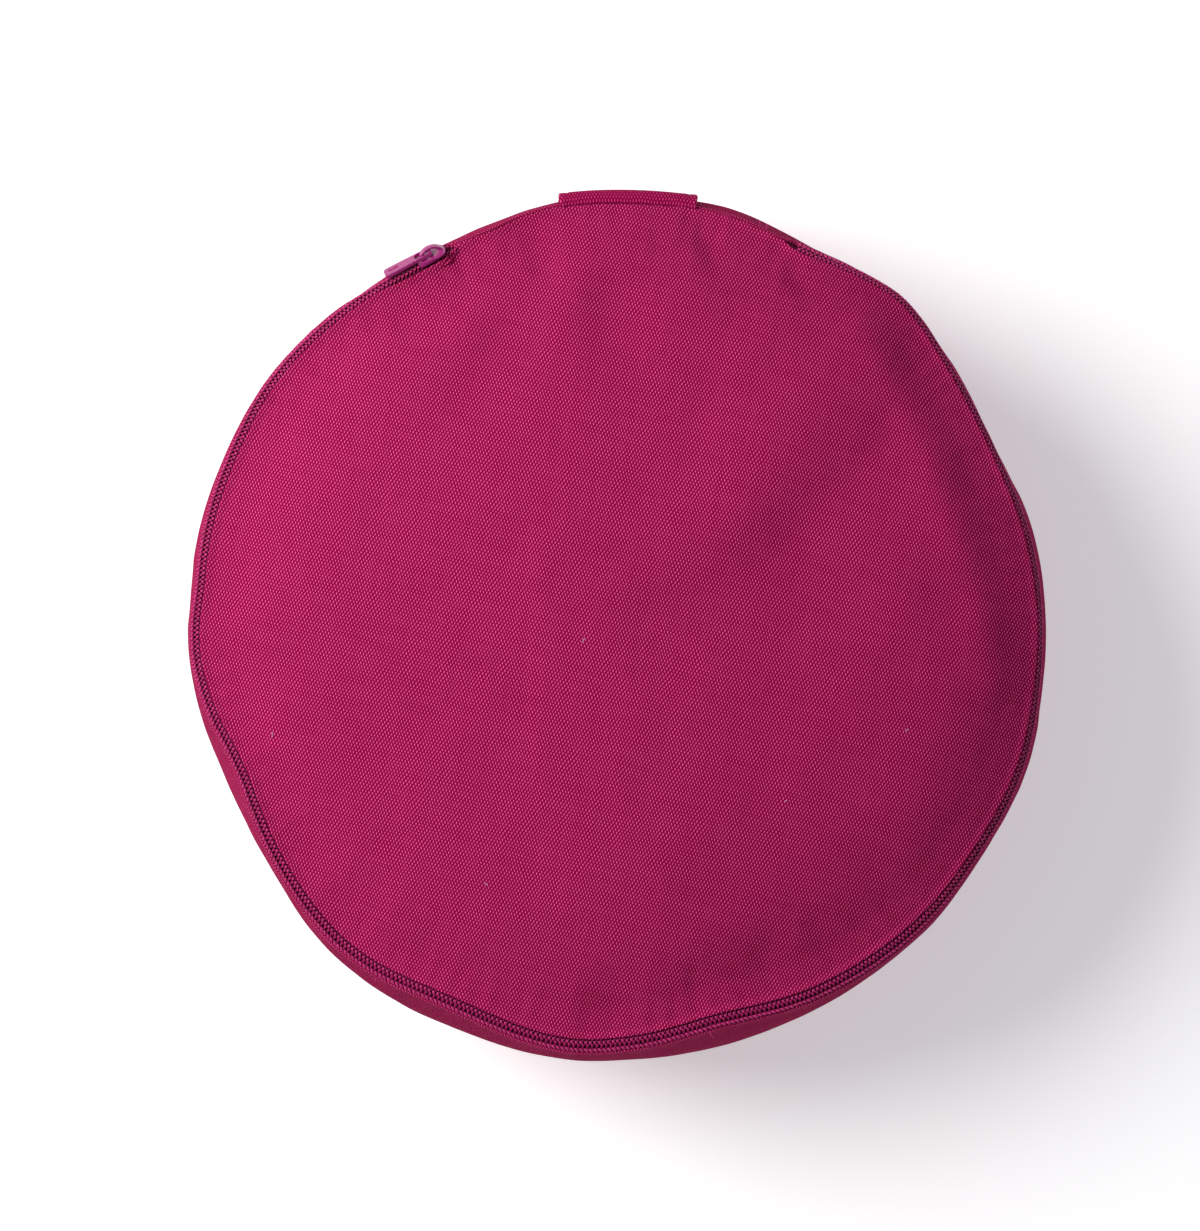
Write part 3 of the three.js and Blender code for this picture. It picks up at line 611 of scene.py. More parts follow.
def enamel_material():
    """Glossy magenta enamel over cast metal, a little uneven and paler on worn spots."""
    name = "Magenta enamel"
    if name in bpy.data.materials:
        return bpy.data.materials[name]
    look = bpy.context.scene.cushion_zip
    material, nodes, shader = new_material(name, Roughness=0.3, Coat_Weight=0.3, Coat_Roughness=0.1,
                                           Specular_IOR_Level=0.35)
    place = nodes.place()
    patch = nodes.noise(place, 350.0, 3.0)
    light = tuple(min(1.0, value * 1.12) for value in look.enamel_colour)
    nodes.feed(shader.inputs["Base Color"], nodes.mix(
        nodes.ramp(patch, 0.35, 0.7), colour(look.enamel_colour), colour(light)))
    nodes.feed(shader.inputs["Roughness"], nodes.ramp(patch, 0.3, 0.8, 0.22, 0.42))
    nodes.bump(shader, nodes.noise(place, 1300.0), 0.06, 0.35)
    return material


# ---- sizes and colours ----


def tint(label, text, values):
    return FloatVectorProperty(name=label, description=text, default=values, size=3, subtype="COLOR",
                               min=0.0, max=1.0)


def length(label, text, value):
    return FloatProperty(name=label, description=text, default=value * MM, unit="LENGTH", precision=5)


def power(label, text, value):
    return FloatProperty(name=label, description=text, default=value, unit="POWER")


class CanvasSettings(bpy.types.PropertyGroup):
    """Threads, colours and folds of the canvas."""

    warp_pitch: length("Warp pitch", "Distance between neighbouring warp threads", 0.607)
    weft_pitch: length("Weft pitch", "Distance between neighbouring weft threads", 1.14)
    # Painted highlight on the crowns of the threads.
    crown_highlight_colour: tint("Crown colour", "Colour of a thread where it lies on top", (0.92, 0.11, 0.345))
    thread_colour: tint("Thread colour", "Colour of a thread beside its top", (0.45, 0.002, 0.092))
    # Painted shade in the gaps between the threads.
    gap_shade_colour: tint("Gap colour", "Colour in the gaps between threads", (0.12, 0.0, 0.014))
    worn_colour: tint("Worn colour", "Colour of the canvas along worn edges", (0.6, 0.06, 0.22))
    gather_height: length("Gather height", "Height of the small gathers along the seams", 0.21)
    lump_height: length("Lump height", "Unevenness of the filling under the canvas", 0.35)


class ZipSettings(bpy.types.PropertyGroup):
    """Coils, stitches and enamel of the zip."""

    tooth_pitch: length("Tooth pitch", "Distance between neighbouring turns of a coil", 1.72)
    filament: length("Filament", "Radius of the coils' filament", 0.27)
    coil_colour: tint("Coil colour", "Colour of the nylon coils", (0.4, 0.008, 0.11))
    stitch_colour: tint("Stitch colour", "Colour of the thread over the coils", (0.5, 0.03, 0.17))
    tape_colour: tint("Tape colour", "Colour of the zip's tape", (0.18, 0.003, 0.045))
    enamel_colour: tint("Enamel colour", "Colour of the slider and its pull tab", (0.36, 0.02, 0.175))


class StrapSettings(bpy.types.PropertyGroup):
    """Size and stitching of the carrying strap."""

    width: length("Width", "Width of the strap", 54.0)
    thickness: length("Thickness", "Thickness of the folded canvas", 1.5)
    stitch_length: length("Stitch length", "Length of one topstitch", 3.0)
    stitch_inset: length("Stitch inset", "Distance of the topstitching from the strap's edges", 3.2)


class StageSettings(bpy.types.PropertyGroup):
    """Floor and lights."""

    floor_colour: tint("Floor colour", "Colour of the floor", (0.95, 0.95, 0.95))
    floor_glow: FloatProperty(name="Floor glow", description="Even light from the lit floor", default=0.38)
    key_power: power("Key power", "Power of the main light", 25.2)
    fill_power: power("Fill power", "Power of the cool light", 1.0)
    sky: FloatProperty(name="Sky", description="Strength of the even light from all round", default=0.26)


# ---- canvas ----

# Troughs and ridges of the top disc: the line that each follows, its half widths on the line's left and
# right, and its height.
FOLDS = (
    ("long valley", ((20, 1), (37, 9), (60, 23), (89, 53), (101, 68)), 15, 30, -2.3),
    ("fold above the valley", ((42, 38), (60, 70), (80, 92)), 15, 15, 1.2),
    ("broad hollow on the right", ((74, 0), (60, -84)), 90, 40, -3.0),
    ("ridge on the right", ((92, 108), (104, 86), (119, 50), (131, 14), (140, -20)), 9, 9, 2.4),
    ("steep side of the ridge", ((94, 104), (104, 86), (119, 50), (131, 14), (137, -30), (130, -66)),
     30, 26, 2.8),
    ("trough towards the back", ((27, 74), (33, 92), (41, 110)), 14, 8, -0.9),
    ("hollow behind the middle", ((-3, 120), (-4, 109)), 24, 8, -2.1),
    ("hollow on the left", ((-41, 108), (-46, 98), (-56, 84)), 16, 9, -1.6),
    ("broad hollow", ((8, 66), (10, 28)), 20, 20, -0.7),
    ("ridge down the middle", ((-29, 26), (-29, -58)), 9, 5, 0.4),
    ("pucker left of the strap", ((-34, 148), (-30, 133)), 9, 3.5, -2.1),
    ("pucker right of the strap", ((30, 150), (36, 134)), 10, 4, -2.7),
    ("pucker by the zip end", ((63, 138), (68, 124)), 9, 3.5, -2.1),
    ("pucker by the pull tab", ((-84, 122), (-80, 110)), 8, 4, -1.8),
    ("second pucker by the pull tab", ((-94, 116), (-89, 105)), 7, 3, -1.1),
    ("pucker behind the strap", ((14, 151), (15, 139)), 7, 4, -1.1),
    ("pucker at the front", ((29, -130), (33, -146)), 8, 5, -1.5),
    ("pucker at the front right", ((52, -124), (57, -138)), 7, 4, -1.4),
    ("pucker at the lower right", ((72, -113), (79, -126)), 7, 4, -1.4),
    ("pucker at the lower left", ((-70, -118), (-77, -130)), 8, 5, -0.9),
)
FOLD_FADE = 10  # power with which the folds fade towards the seam
BAND_FADE = 12  # the same for the band's unevenness

TOP_COLUMNS = 640
BAND_COLUMNS = 640
BASE_COLUMNS = 320
# Rings of points: shares of the way to the edge, and for the band from its upper end to its lower one.
TOP_SHARES = np.concatenate((np.linspace(0.012, 0.9, 78), np.linspace(0.905, 0.982, 22)))
BAND_STEPS = np.concatenate((
    np.linspace(0.955, 0.8, 7), np.linspace(0.76, -0.76, 36), np.linspace(-0.8, -0.955, 7)))
BASE_RADII = np.linspace(3, REST_RADIUS, 26)
BASE_SHARES = np.linspace(0.06, 0.96, 16)

# Gathers along a seam: radius, spacing and seed. Their zone gives the share where they start, the stretch
# over which they grow and the power with which they do.
TOP_GATHERS, TOP_GATHER_ZONE = (152, 8.5, 5), (0.84, 0.12, 1.5)
BAND_GATHERS, BAND_GATHER_ZONE = (158, 9.5, 13), (0.55, 0.4, 1.4)
BASE_GATHERS, BASE_GATHER_ZONE = (150, 9.0, 21), (0.5, 0.4, 1)
GATHER_DRIFT = 0.8  # spacings by which the gathers drift round the seam
GATHER_DRIFT_SIZE = 22
GATHER_STRENGTH = (0.55, 0.45)  # their average strength and its unevenness
GATHER_STRENGTH_SIZE = 30
# Lumps of the filling: size, seed and share of each unevenness.
TOP_LUMPS = ((17, 3, 0.6), (8, 4, 0.25))
BAND_LUMPS = ((21, 11, 0.9), (9, 12, 0.3))
BAND_LUMP_RADIUS = 160  # radius on which the band's lumps are laid out

# A disc's turned edge starts at a corner that stands out past the disc's face. Each row gives a further
# corner, across and out of the seam.
TOP_LIFT = 0.25  # how far the first corner stands out
BASE_LIFT = 0.2  # the same for the lower disc
DISC_EDGE = ((0.1, 0.0), (-TURN, -1.05), (-3.0, -1.05))
EDGE_GATHER_SHARES = (1.0, 0.6)  # how much of the gathers the upper disc's first two corners have
EDGE_STEPS = 4  # points from one corner of a turned edge to the next
BAND_EDGE_FOOT = (-0.4, 0.3)  # heights over the seam's floor of the band's first two corners
BAND_EDGE_LIP = (-0.05, 0.55)  # the next one: across and out of the seam

BAND_PAINTED_SHADE = 0.38  # how far painted shade cuts back the painted crown highlights on the band, against the discs'
STRAP_PAINTED_SHADE = 0.28  # the same for the strap
TOP_WEAR = 0.3  # how worn the upper disc's edge is
BASE_WEAR = 1.0  # the same for the lower disc
BAND_WEAR = 0.45  # and for both edges of the band
DISC_WEAR_ARC = (0.4, 3.4)  # part of a sine that the wear follows over a disc's turned edge
BAND_WEAR_ARC = (0.0, 2.6)

# Directions of the threads of the discs, which aren't quite square to each other.
WARP_WAY = (0.988, -0.152)
WEFT_WAY = (0.293, 0.956)

# Rings of the canvas that is pressed: shares across the top, the band and the rounded underside, and
# radii of the flat patch that it rests on.
PRESS_COLUMNS = 160
PRESS_TOP = np.linspace(0.04, 1, 27)
PRESS_BAND = np.linspace(1, -1, 23)
PRESS_UNDER = np.linspace(1, 0.15, 7)
PRESS_REST = (118, 96, 74, 52, 30, 10)
PRESS_FRAMES = 20
PRESS_CLOTH = {
    "quality": 6, "mass": 0.3, "tension_stiffness": 20, "compression_stiffness": 12, "shear_stiffness": 8,
    "bending_stiffness": 0.4, "use_pressure": True, "uniform_pressure_force": 4.0, "shrink_min": -0.02,
    "vertex_group_mass": "held",
}
PRESS_LIMIT = 1.8  # most that a point may move, once the broad swelling is taken out
PRESS_SMOOTHING = 26  # rounds of averaging that make the broad swelling
PRESS_CALM = 0.3  # share of the top disc round its middle that stays as it is
pressed = {}  # movement of the pressed canvas, by panel


def averaged(grid, rounds):
    """A grid of values, closed along its columns, after rounds of averaging with its neighbours."""
    for _ in range(rounds):
        grid = (grid + np.roll(grid, 1, axis=1) + np.roll(grid, -1, axis=1)) / 3
        padded = np.concatenate((grid[:1], grid, grid[-1:]))
        grid = (padded[:-2] + padded[1:-1] + padded[2:]) / 3
    return grid


def relief(panel, knots, angles, shares):
    """Movement of the pressed canvas at angles round the cushion and shares across a panel."""
    if panel not in pressed:
        return np.zeros((len(shares), len(angles)))
    turned = around(pressed[panel].T, angles)
    fade = grown(shares, PRESS_CALM, PRESS_CALM) if panel == "top" else np.ones(len(shares))
    return through(knots, turned, shares).T * fade[:, None]


class CUSHION_OT_press(bpy.types.Operator):
    """Press the canvas out over its filling by a short cloth simulation, and keep its small folds"""

    bl_idname = "cushion.press"
    bl_label = "Press the canvas out"

    def execute(self, context):
        pressed.clear()
        angles = ring(PRESS_COLUMNS)
        share, angle = np.meshgrid(PRESS_TOP, angles, indexing="ij")
        top = rim.dome(angle, share)
        step, angle = np.meshgrid(PRESS_BAND, angles, indexing="ij")
        band = rim.band(angle, step)
        share, angle = np.meshgrid(PRESS_UNDER, angles, indexing="ij")
        under = rim.underside(angle, share)
        rest = flat_rings(PRESS_REST, angles)
        start = stand(np.concatenate((top, band, under, rest)), angles)
        seams = np.zeros(len(start), dtype=bool)
        seams[[0, len(top) - 1, len(top), len(top) + len(band) - 1, len(top) + len(band)]] = True
        seams[len(top) + len(band) + len(under):] = True
        end = self.simulate(context, start, seams)
        normal = np.cross(np.gradient(start, axis=0), np.roll(start, -1, axis=1) - np.roll(start, 1, axis=1))
        normal = unit(normal)
        normal *= np.sign(np.sum(normal * (start - [0, 0, WIDEST_HEIGHT]), axis=-1, keepdims=True))
        moved = np.sum((end - start) * normal, axis=-1)
        for panel, rows in (("top", slice(0, len(top))), ("band", slice(len(top), len(top) + len(band)))):
            small = moved[rows] - averaged(moved[rows], PRESS_SMOOTHING)
            small[[0, -1]] = 0
            pressed[panel] = np.clip(averaged(small, 1), -PRESS_LIMIT, PRESS_LIMIT)
        return {"FINISHED"}

    def simulate(self, context, start, seams):
        """The points after the simulation, which holds the rows that are marked as seams."""
        rows, columns = start.shape[:2]
        faces = grid_faces(rows, columns, True).tolist()
        faces += [list(range(columns)), [(rows - 1) * columns + k for k in range(columns)][::-1]]
        mesh = bpy.data.meshes.new("press")
        mesh.from_pydata((start.reshape(-1, 3) * MM).tolist(), [], faces)
        work = bmesh.new()
        work.from_mesh(mesh)
        bmesh.ops.recalc_face_normals(work, faces=work.faces)
        work.to_mesh(mesh)
        work.free()
        body = linked("press", mesh)
        held = body.vertex_groups.new(name="held")
        held.add(np.nonzero(np.repeat(seams, columns))[0].tolist(), 1.0, "REPLACE")
        cloth = body.modifiers.new("Cloth", "CLOTH")
        cloth.point_cache.frame_start, cloth.point_cache.frame_end = 1, PRESS_FRAMES
        for name, value in PRESS_CLOTH.items():
            setattr(cloth.settings, name, value)
        cloth.settings.effector_weights.gravity = 0
        for number in range(1, PRESS_FRAMES + 1):
            context.scene.frame_set(number)
        shape = body.evaluated_get(context.evaluated_depsgraph_get()).data
        end = np.empty(len(shape.vertices) * 3)
        shape.vertices.foreach_get("co", end)
        bpy.data.objects.remove(body)
        bpy.data.meshes.remove(mesh)
        context.scene.frame_set(1)
        return end.reshape(start.shape) / MM


def flat_rings(radii, angles):
    """Rings of (radius, height) rows on the floor."""
    return np.stack(np.broadcast_arrays(np.array(radii, dtype=float)[:, None], 0.0 * angles), axis=-1)


def fold_height(x, y):
    height = np.zeros(np.shape(x))
    for _, line, left, right, rise in FOLDS:
        away, side = line_distance(x, y, line)
        height += rise * np.exp(-((away / (left * side + right * (1 - side))) ** 2))
    return height


def gathers(angles, radius, spacing, seed):
    """Small gathers along a seam, uneven round the cushion, between -1 and 1."""
    x, y = radius * np.cos(angles), radius * np.sin(angles)
    drift = GATHER_DRIFT * soft_noise(x, y, GATHER_DRIFT_SIZE, seed)
    strength = GATHER_STRENGTH[0] + GATHER_STRENGTH[1] * soft_noise(x, y, GATHER_STRENGTH_SIZE, seed + 1)
    return np.cos(TAU * (angles * radius / spacing + drift)) * strength


def polar_cloth(points, wear_and_shade):
    """Warp and weft counts of a disc's canvas."""
    look = bpy.context.scene.cushion_canvas
    x, y = points[..., 0], points[..., 1]
    warp = (WARP_WAY[0] * x + WARP_WAY[1] * y) * MM / look.warp_pitch
    weft = (WEFT_WAY[0] * x + WEFT_WAY[1] * y) * MM / look.weft_pitch
    return np.stack((warp, weft, np.broadcast_to(wear_and_shade, x.shape)), axis=-1)


def edge_wear(arc, rows):
    """Wear along a turned edge, greatest on its corner."""
    return np.clip(np.sin(np.linspace(*arc, rows)), 0, 1)


def disc_edge(seam, angles, lift):
    """Corners of a disc's turned edge, from its outer face into the seam."""
    corner = (-TURN, CLOTH_OVER + lift)
    return [seam.point(angles, across, out, edge=-1) for across, out in (corner, *DISC_EDGE)]


def add_disc(name, node, flat, edge_rows, wear_share, centre_height, faces_up):
    """A canvas disc from its rings, of which the last ones are its turned edge."""
    rows, columns = flat.shape[:2]
    wear_and_shade = np.zeros(rows)
    wear_and_shade[-edge_rows:] = edge_wear(DISC_WEAR_ARC, edge_rows) * wear_share
    points = stand(flat, ring(columns)).reshape(-1, 3)
    points = np.concatenate((points, [[0, 0, centre_height]]))
    cloth = polar_cloth(points, np.append(np.repeat(wear_and_shade, columns), 0.0))
    faces = grid_faces(rows, columns, True).tolist()
    faces += [[rows * columns, (k + 1) % columns, k] for k in range(columns)]
    if faces_up:
        faces = [face[::-1] for face in faces]
    piece = add_piece(name, points, faces, canvas_material(), "canvas", cloth)
    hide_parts(node)


class CUSHION_OT_top(bpy.types.Operator):
    """Lay the upper canvas disc over the filling, with its folds and its turned edge"""

    bl_idname = "cushion.top_cover"
    bl_label = "Top cover"

    def execute(self, context):
        look = context.scene.cushion_canvas
        gather = look.gather_height / MM
        angles = ring(TOP_COLUMNS)
        share, angle = np.meshgrid(TOP_SHARES, angles, indexing="ij")
        flat = rim.dome(angle, share)
        x, y = flat[..., 0] * np.cos(angle), flat[..., 0] * np.sin(angle)
        fade = 1 - share**FOLD_FADE
        flat[..., 1] += (fold_height(x, y) + lumps(x, y, TOP_LUMPS) * look.lump_height / MM) * fade
        flat[..., 1] += gathers(angle, *TOP_GATHERS) * grown(share, *TOP_GATHER_ZONE) * gather
        flat[..., 1] += relief("top", PRESS_TOP, angles, TOP_SHARES)
        edge = disc_edge(rim.upper, angles, TOP_LIFT)
        for corner, share_of in zip(edge, EDGE_GATHER_SHARES):
            corner[:, 1] += gathers(angles, *TOP_GATHERS) * gather * share_of
        rolled = rounded(np.stack((flat[-2], flat[-1], *edge)), EDGE_STEPS)
        flat = np.concatenate((flat[:-2], rolled))
        middle = float(flat[0, :, 1].mean())
        add_disc("canvas_top", "top_panel", flat, len(rolled), TOP_WEAR, middle, True)
        return {"FINISHED"}


def ring_cloth(points, wear_and_shade):
    """Warp and weft counts of the band's canvas, whose warp stands upright, and its closing count."""
    look = bpy.context.scene.cushion_canvas
    middle = points[len(points) // 2]
    walk = walked(np.concatenate((middle, middle[:1])))
    arc, turn = walk[:-1], float(walk[-1])
    loop = 2 * round(turn * MM / look.warp_pitch / 2)
    warp = np.broadcast_to(arc / turn * loop, points.shape[:2])
    climb = np.linalg.norm(np.diff(points, axis=0), axis=-1).mean(axis=1)
    weft = np.concatenate(([0], np.cumsum(climb))) * MM / look.weft_pitch
    weft = np.broadcast_to(weft[:, None], points.shape[:2])
    return np.stack((warp, weft, np.broadcast_to(wear_and_shade[:, None], points.shape[:2])), axis=-1), float(loop)


class CUSHION_OT_band(bpy.types.Operator):
    """Wrap the canvas band round the filling, with turned edges at both seams"""

    bl_idname = "cushion.side_band"
    bl_label = "Side band"

    def execute(self, context):
        look = context.scene.cushion_canvas
        angles = math.pi / 2 + ring(BAND_COLUMNS)
        step, angle = np.meshgrid(BAND_STEPS, angles, indexing="ij")
        flat = rim.band(angle, step)
        uneven = lumps(angle * BAND_LUMP_RADIUS, flat[..., 1], BAND_LUMPS) * look.lump_height
        gather = gathers(angle, *BAND_GATHERS) * grown(np.abs(step), *BAND_GATHER_ZONE) * look.gather_height
        flat[..., 0] += (uneven + gather) / MM * (1 - np.abs(step) ** BAND_FADE)
        flat[..., 0] += relief("band", -PRESS_BAND, angles, -BAND_STEPS)
        top = self.turned(angles, rim.upper, around(rim.band_top, angles))
        foot = self.turned(angles, rim.lower, around(rim.band_foot, angles))
        upper = rounded(np.stack((*top, flat[0], flat[1])), EDGE_STEPS)
        lower = rounded(np.stack((*foot, flat[-1], flat[-2])), EDGE_STEPS)[::-1]
        flat = np.concatenate((upper, flat[1:-1], lower))
        wear_and_shade = np.zeros(len(flat))
        edge = edge_wear(BAND_WEAR_ARC, len(upper)) * BAND_WEAR
        wear_and_shade[:len(upper)], wear_and_shade[-len(lower):] = edge, edge[::-1]
        points = stand(flat, angles)
        # Worn edges, and painted shade on the thread crowns over the whole band.
        cloth, loop = ring_cloth(points, wear_and_shade - BAND_PAINTED_SHADE)
        faces = grid_faces(len(flat), BAND_COLUMNS, True)[:, ::-1]
        piece = add_piece("canvas_band", points, faces, canvas_material(), "canvas", cloth, loop)
        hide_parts("side_band")
        return {"FINISHED"}

    def turned(self, angles, seam, end):
        """Corners of the band's turned edge, from under the seam to the band's face."""
        rows = [seam.point(angles, 0.0, around(seam.floor, angles) + out, edge=1) for out in BAND_EDGE_FOOT]
        return [*rows, seam.point(angles, *BAND_EDGE_LIP, edge=1), end]


class CUSHION_OT_base(bpy.types.Operator):
    """Lay the lower canvas disc under the filling"""

    bl_idname = "cushion.base_cover"
    bl_label = "Base cover"

    def execute(self, context):
        look = context.scene.cushion_canvas
        angles = ring(BASE_COLUMNS)
        share, angle = np.meshgrid(BASE_SHARES, angles, indexing="ij")
        curve = rim.underside(angle, share)
        gather = gathers(angle, *BASE_GATHERS) * grown(share, *BASE_GATHER_ZONE)
        curve[..., 1] += gather * look.gather_height / MM
        edge = disc_edge(rim.lower, angles, BASE_LIFT)
        rolled = rounded(np.stack((curve[-2], curve[-1], *edge)), EDGE_STEPS)
        flat = np.concatenate((flat_rings(BASE_RADII, angles), curve[:-1], rolled))
        add_disc("canvas_base", "bottom_panel", flat, len(rolled), BASE_WEAR, 0, False)
        return {"FINISHED"}


# ---- zip ----

ZIP_START_DEG = 113.7  # loose ends of the coils, in front of the slider's nose
ZIP_END_DEG = 425
SLIDER_DEG = 117.2
COILS = ((-1, "coil_by_disc", "zip_coil_inner"), (1, "coil_by_band", "zip_coil_outer"))
COIL_OFFSET = {-1: 1.2, 1: 1.62}  # from the zip's centre line to the middle of each coil
COIL_SPREAD = 1.2  # how much further apart the coils are where they enter the slider
SPREAD_START_DEG = 2  # from the loose ends to where the coils start to close
SPREAD_END_DEG = 1.2  # from the slider's middle to where they are closed
COIL_REACH = {-1: 1.2, 1: 0.9}  # half width of each coil
COIL_RISE = 0.62  # half height of a coil
TURN_POINTS = 14  # points of the filament to a turn
THREAD_SIDES = 6
# Rows of stitches and heads: offset from the centre line, rise, slant in degrees, start in turns and
# half sizes.
BEAD_ROWS = (
    ("stitches_by_disc", -1.62, 0.95, 68, 0.0, (0.74, 0.6, 0.42)),
    ("interlocked_heads", -0.5, 1.0, 62, 0.5, (0.72, 0.6, 0.44)),
    ("stitches_by_band", 1.62, 1.0, 36, 0.25, (0.98, 0.56, 0.5)),
)
BEAD_START = 5.5  # from the loose ends to the first stitch
BEAD_END = 1  # from the last stitch to the far end
BEAD_UNEVENNESS = 0.07  # how far a stitch lies off its place
TAPE_DEPTH = 2.6  # how far under the disc's outer face the tape is sewn to it
TAPE_SHARE = 0.962  # where on the disc that is
TAPE_OVERRUN_DEG = 4  # how far the tape goes past each end of the coils
TAPE_GAP = 0.08  # between the tape and each edge of the seam
# The tape across the zip: share of the half width, and depth below the zip's middle.
TAPE_SECTION = ((-1, 1.4), (-0.86, 1.35), (-0.76, 0.1), (0.0, 0.1), (0.12, 1.3), (0.24, 1.3), (0.34, 0.4),
                (0.84, 0.4), (0.92, 1.2), (1, 1.3))


class ZipPath:
    """The zip's centre line, walked in millimetres from its open end."""

    def __init__(self, start=ZIP_START_DEG, end=ZIP_END_DEG):
        self.angles = np.radians(np.linspace(start, end, 2400))
        self.walk = walked(stand(rim.upper.point(self.angles, 0.0, 0.0), self.angles))
        self.length = float(self.walk[-1])

    def frame_at(self, distance):
        """Angles, points and the ways along, across and out at distances along the zip."""
        angles = np.interp(distance, self.walk, self.angles)
        points = stand(rim.upper.point(angles, 0.0, 0.0), angles)
        across = stand(unit(around(rim.upper.across, angles)), angles)
        out = stand(unit(around(rim.upper.out, angles)), angles)
        return angles, points, unit(np.cross(across, out)), across, out


def coil_spread(angles):
    """How much further apart than in the closed zip the coils are."""
    start, end = ZIP_START_DEG + SPREAD_START_DEG, SLIDER_DEG + SPREAD_END_DEG
    return COIL_SPREAD * (1 - eased(grown(np.degrees(angles), start, end - start)))


def coil_thread(path, side, pitch, radius):
    """One nylon coil: a flattened spiral whose heads hook into the other coil's."""
    turns = int(path.length / pitch)
    distance = np.linspace(0, turns * pitch, turns * TURN_POINTS)
    angles, centre, along, across, out = path.frame_at(distance)
    spin = TAU * distance / pitch + (0 if side < 0 else math.pi / 2)
    swing, rise = -side * np.cos(spin)[:, None] * across, np.sin(spin)[:, None] * out
    radial = swing * COIL_REACH[side] + rise * COIL_RISE
    middle = centre + (side * (COIL_OFFSET[side] + coil_spread(angles)))[:, None] * across
    middle = middle + along * np.cos(spin)[:, None] * pitch / 4
    lead = swing / COIL_REACH[side] + rise / COIL_RISE
    return tube(middle + radial, radius, THREAD_SIDES, unit(lead))


class CUSHION_OT_zip(bpy.types.Operator):
    """Run the zip round the upper seam: its tape, both coils and the stitching over them"""

    bl_idname = "cushion.zip"
    bl_label = "Zip"

    def execute(self, context):
        look = context.scene.cushion_zip
        path = ZipPath()
        pitch, radius = look.tooth_pitch / MM, look.filament / MM
        nylon = thread_material("Nylon coil", look.coil_colour, 0.38)
        for side, name, node in COILS:
            points, faces = coil_thread(path, side, pitch, radius)
            piece = add_piece(name, points, faces, nylon, "zip_coil")
            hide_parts(node)
        for name, offset, rise, slant, phase, size in BEAD_ROWS:
            distance = np.arange(BEAD_START + phase * pitch, path.length - BEAD_END, pitch)
            angles, centre, along, across, out = path.frame_at(distance)
            cos, sin = math.cos(math.radians(slant)), math.sin(math.radians(slant))
            is_head = abs(offset) < 1
            spread = 0 * angles if is_head else np.sign(offset) * coil_spread(angles)
            middle = centre + across * (offset + spread)[:, None] + out * rise
            draw = np.random.default_rng(len(name))
            uneven = draw.uniform(-BEAD_UNEVENNESS, BEAD_UNEVENNESS, (2, len(distance), 1))
            middle = middle + across * uneven[0] + along * uneven[1]
            points, faces = beads(middle, along * cos - across * sin, along * sin + across * cos, out, size)
            add_piece(name, points, faces, nylon if is_head else sewing_thread(), "zip_coil")
        self.tape()
        return {"FINISHED"}

    def tape(self):
        """The tape under the coils, from under the disc's edge to the band's."""
        wide = ZipPath(ZIP_START_DEG - TAPE_OVERRUN_DEG, ZIP_END_DEG + TAPE_OVERRUN_DEG)
        angles = np.interp(np.linspace(0, wide.length, 1200), wide.walk, wide.angles)
        hidden = rim.dome(angles, TAPE_SHARE) - np.array([0, TAPE_DEPTH])
        rows = [stand(hidden, angles)]
        for share, depth in TAPE_SECTION:
            shift = share * (rim.upper.half_at(angles) - TAPE_GAP)
            rows.append(stand(rim.upper.point(angles, shift, -depth), angles))
        points = np.stack(rows)
        faces = grid_faces(len(rows), len(angles), False)
        piece = add_piece("zip_tape", points, faces, tape_material(), "canvas")
        width = float(np.linalg.norm(np.diff(points, axis=0), axis=-1).sum(axis=0).mean())


# Frame nodes that are only rounded: piece, node and size of the rounding's cells.
CASTINGS = (("slider_body", "zip_slider", 0.16), ("pull_tab", "zip_pull", 0.14))
MERGE_DISTANCE = 0.002  # corners closer than this are one
ROUNDING = 7  # rounds of smoothing of a casting


def softened(node, voxel, rounds):
    """A finely rounded copy of a frame node's mesh."""
    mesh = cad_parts[node].data.copy()
    work = bmesh.new()
    work.from_mesh(mesh)
    bmesh.ops.remove_doubles(work, verts=work.verts, dist=MERGE_DISTANCE * MM)
    work.to_mesh(mesh)
    work.free()
    rough = linked(node + "_rough", mesh)
    remesh = rough.modifiers.new("Remesh", "REMESH")
    remesh.mode, remesh.voxel_size, remesh.use_smooth_shade = "VOXEL", voxel * MM, True
    smooth = rough.modifiers.new("Smooth", "SMOOTH")
    smooth.iterations, smooth.factor = rounds, 0.5
    depsgraph = bpy.context.evaluated_depsgraph_get()
    made = bpy.data.meshes.new_from_object(rough.evaluated_get(depsgraph), depsgraph=depsgraph)
    bpy.data.objects.remove(rough)
    made.materials.clear()
    made.shade_smooth()
    return made


class CUSHION_OT_slider(bpy.types.Operator):
    """Cast the slider and its pull tab in enamelled metal with rounded edges"""

    bl_idname = "cushion.slider"
    bl_label = "Slider and pull tab"

    def execute(self, context):
        for name, node, voxel in CASTINGS:
            mesh = softened(node, voxel, ROUNDING)
            mesh.materials.append(enamel_material())
            piece = linked(name, mesh)
            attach(piece, BODY)
            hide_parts(node)
        return {"FINISHED"}


# ---- strap ----

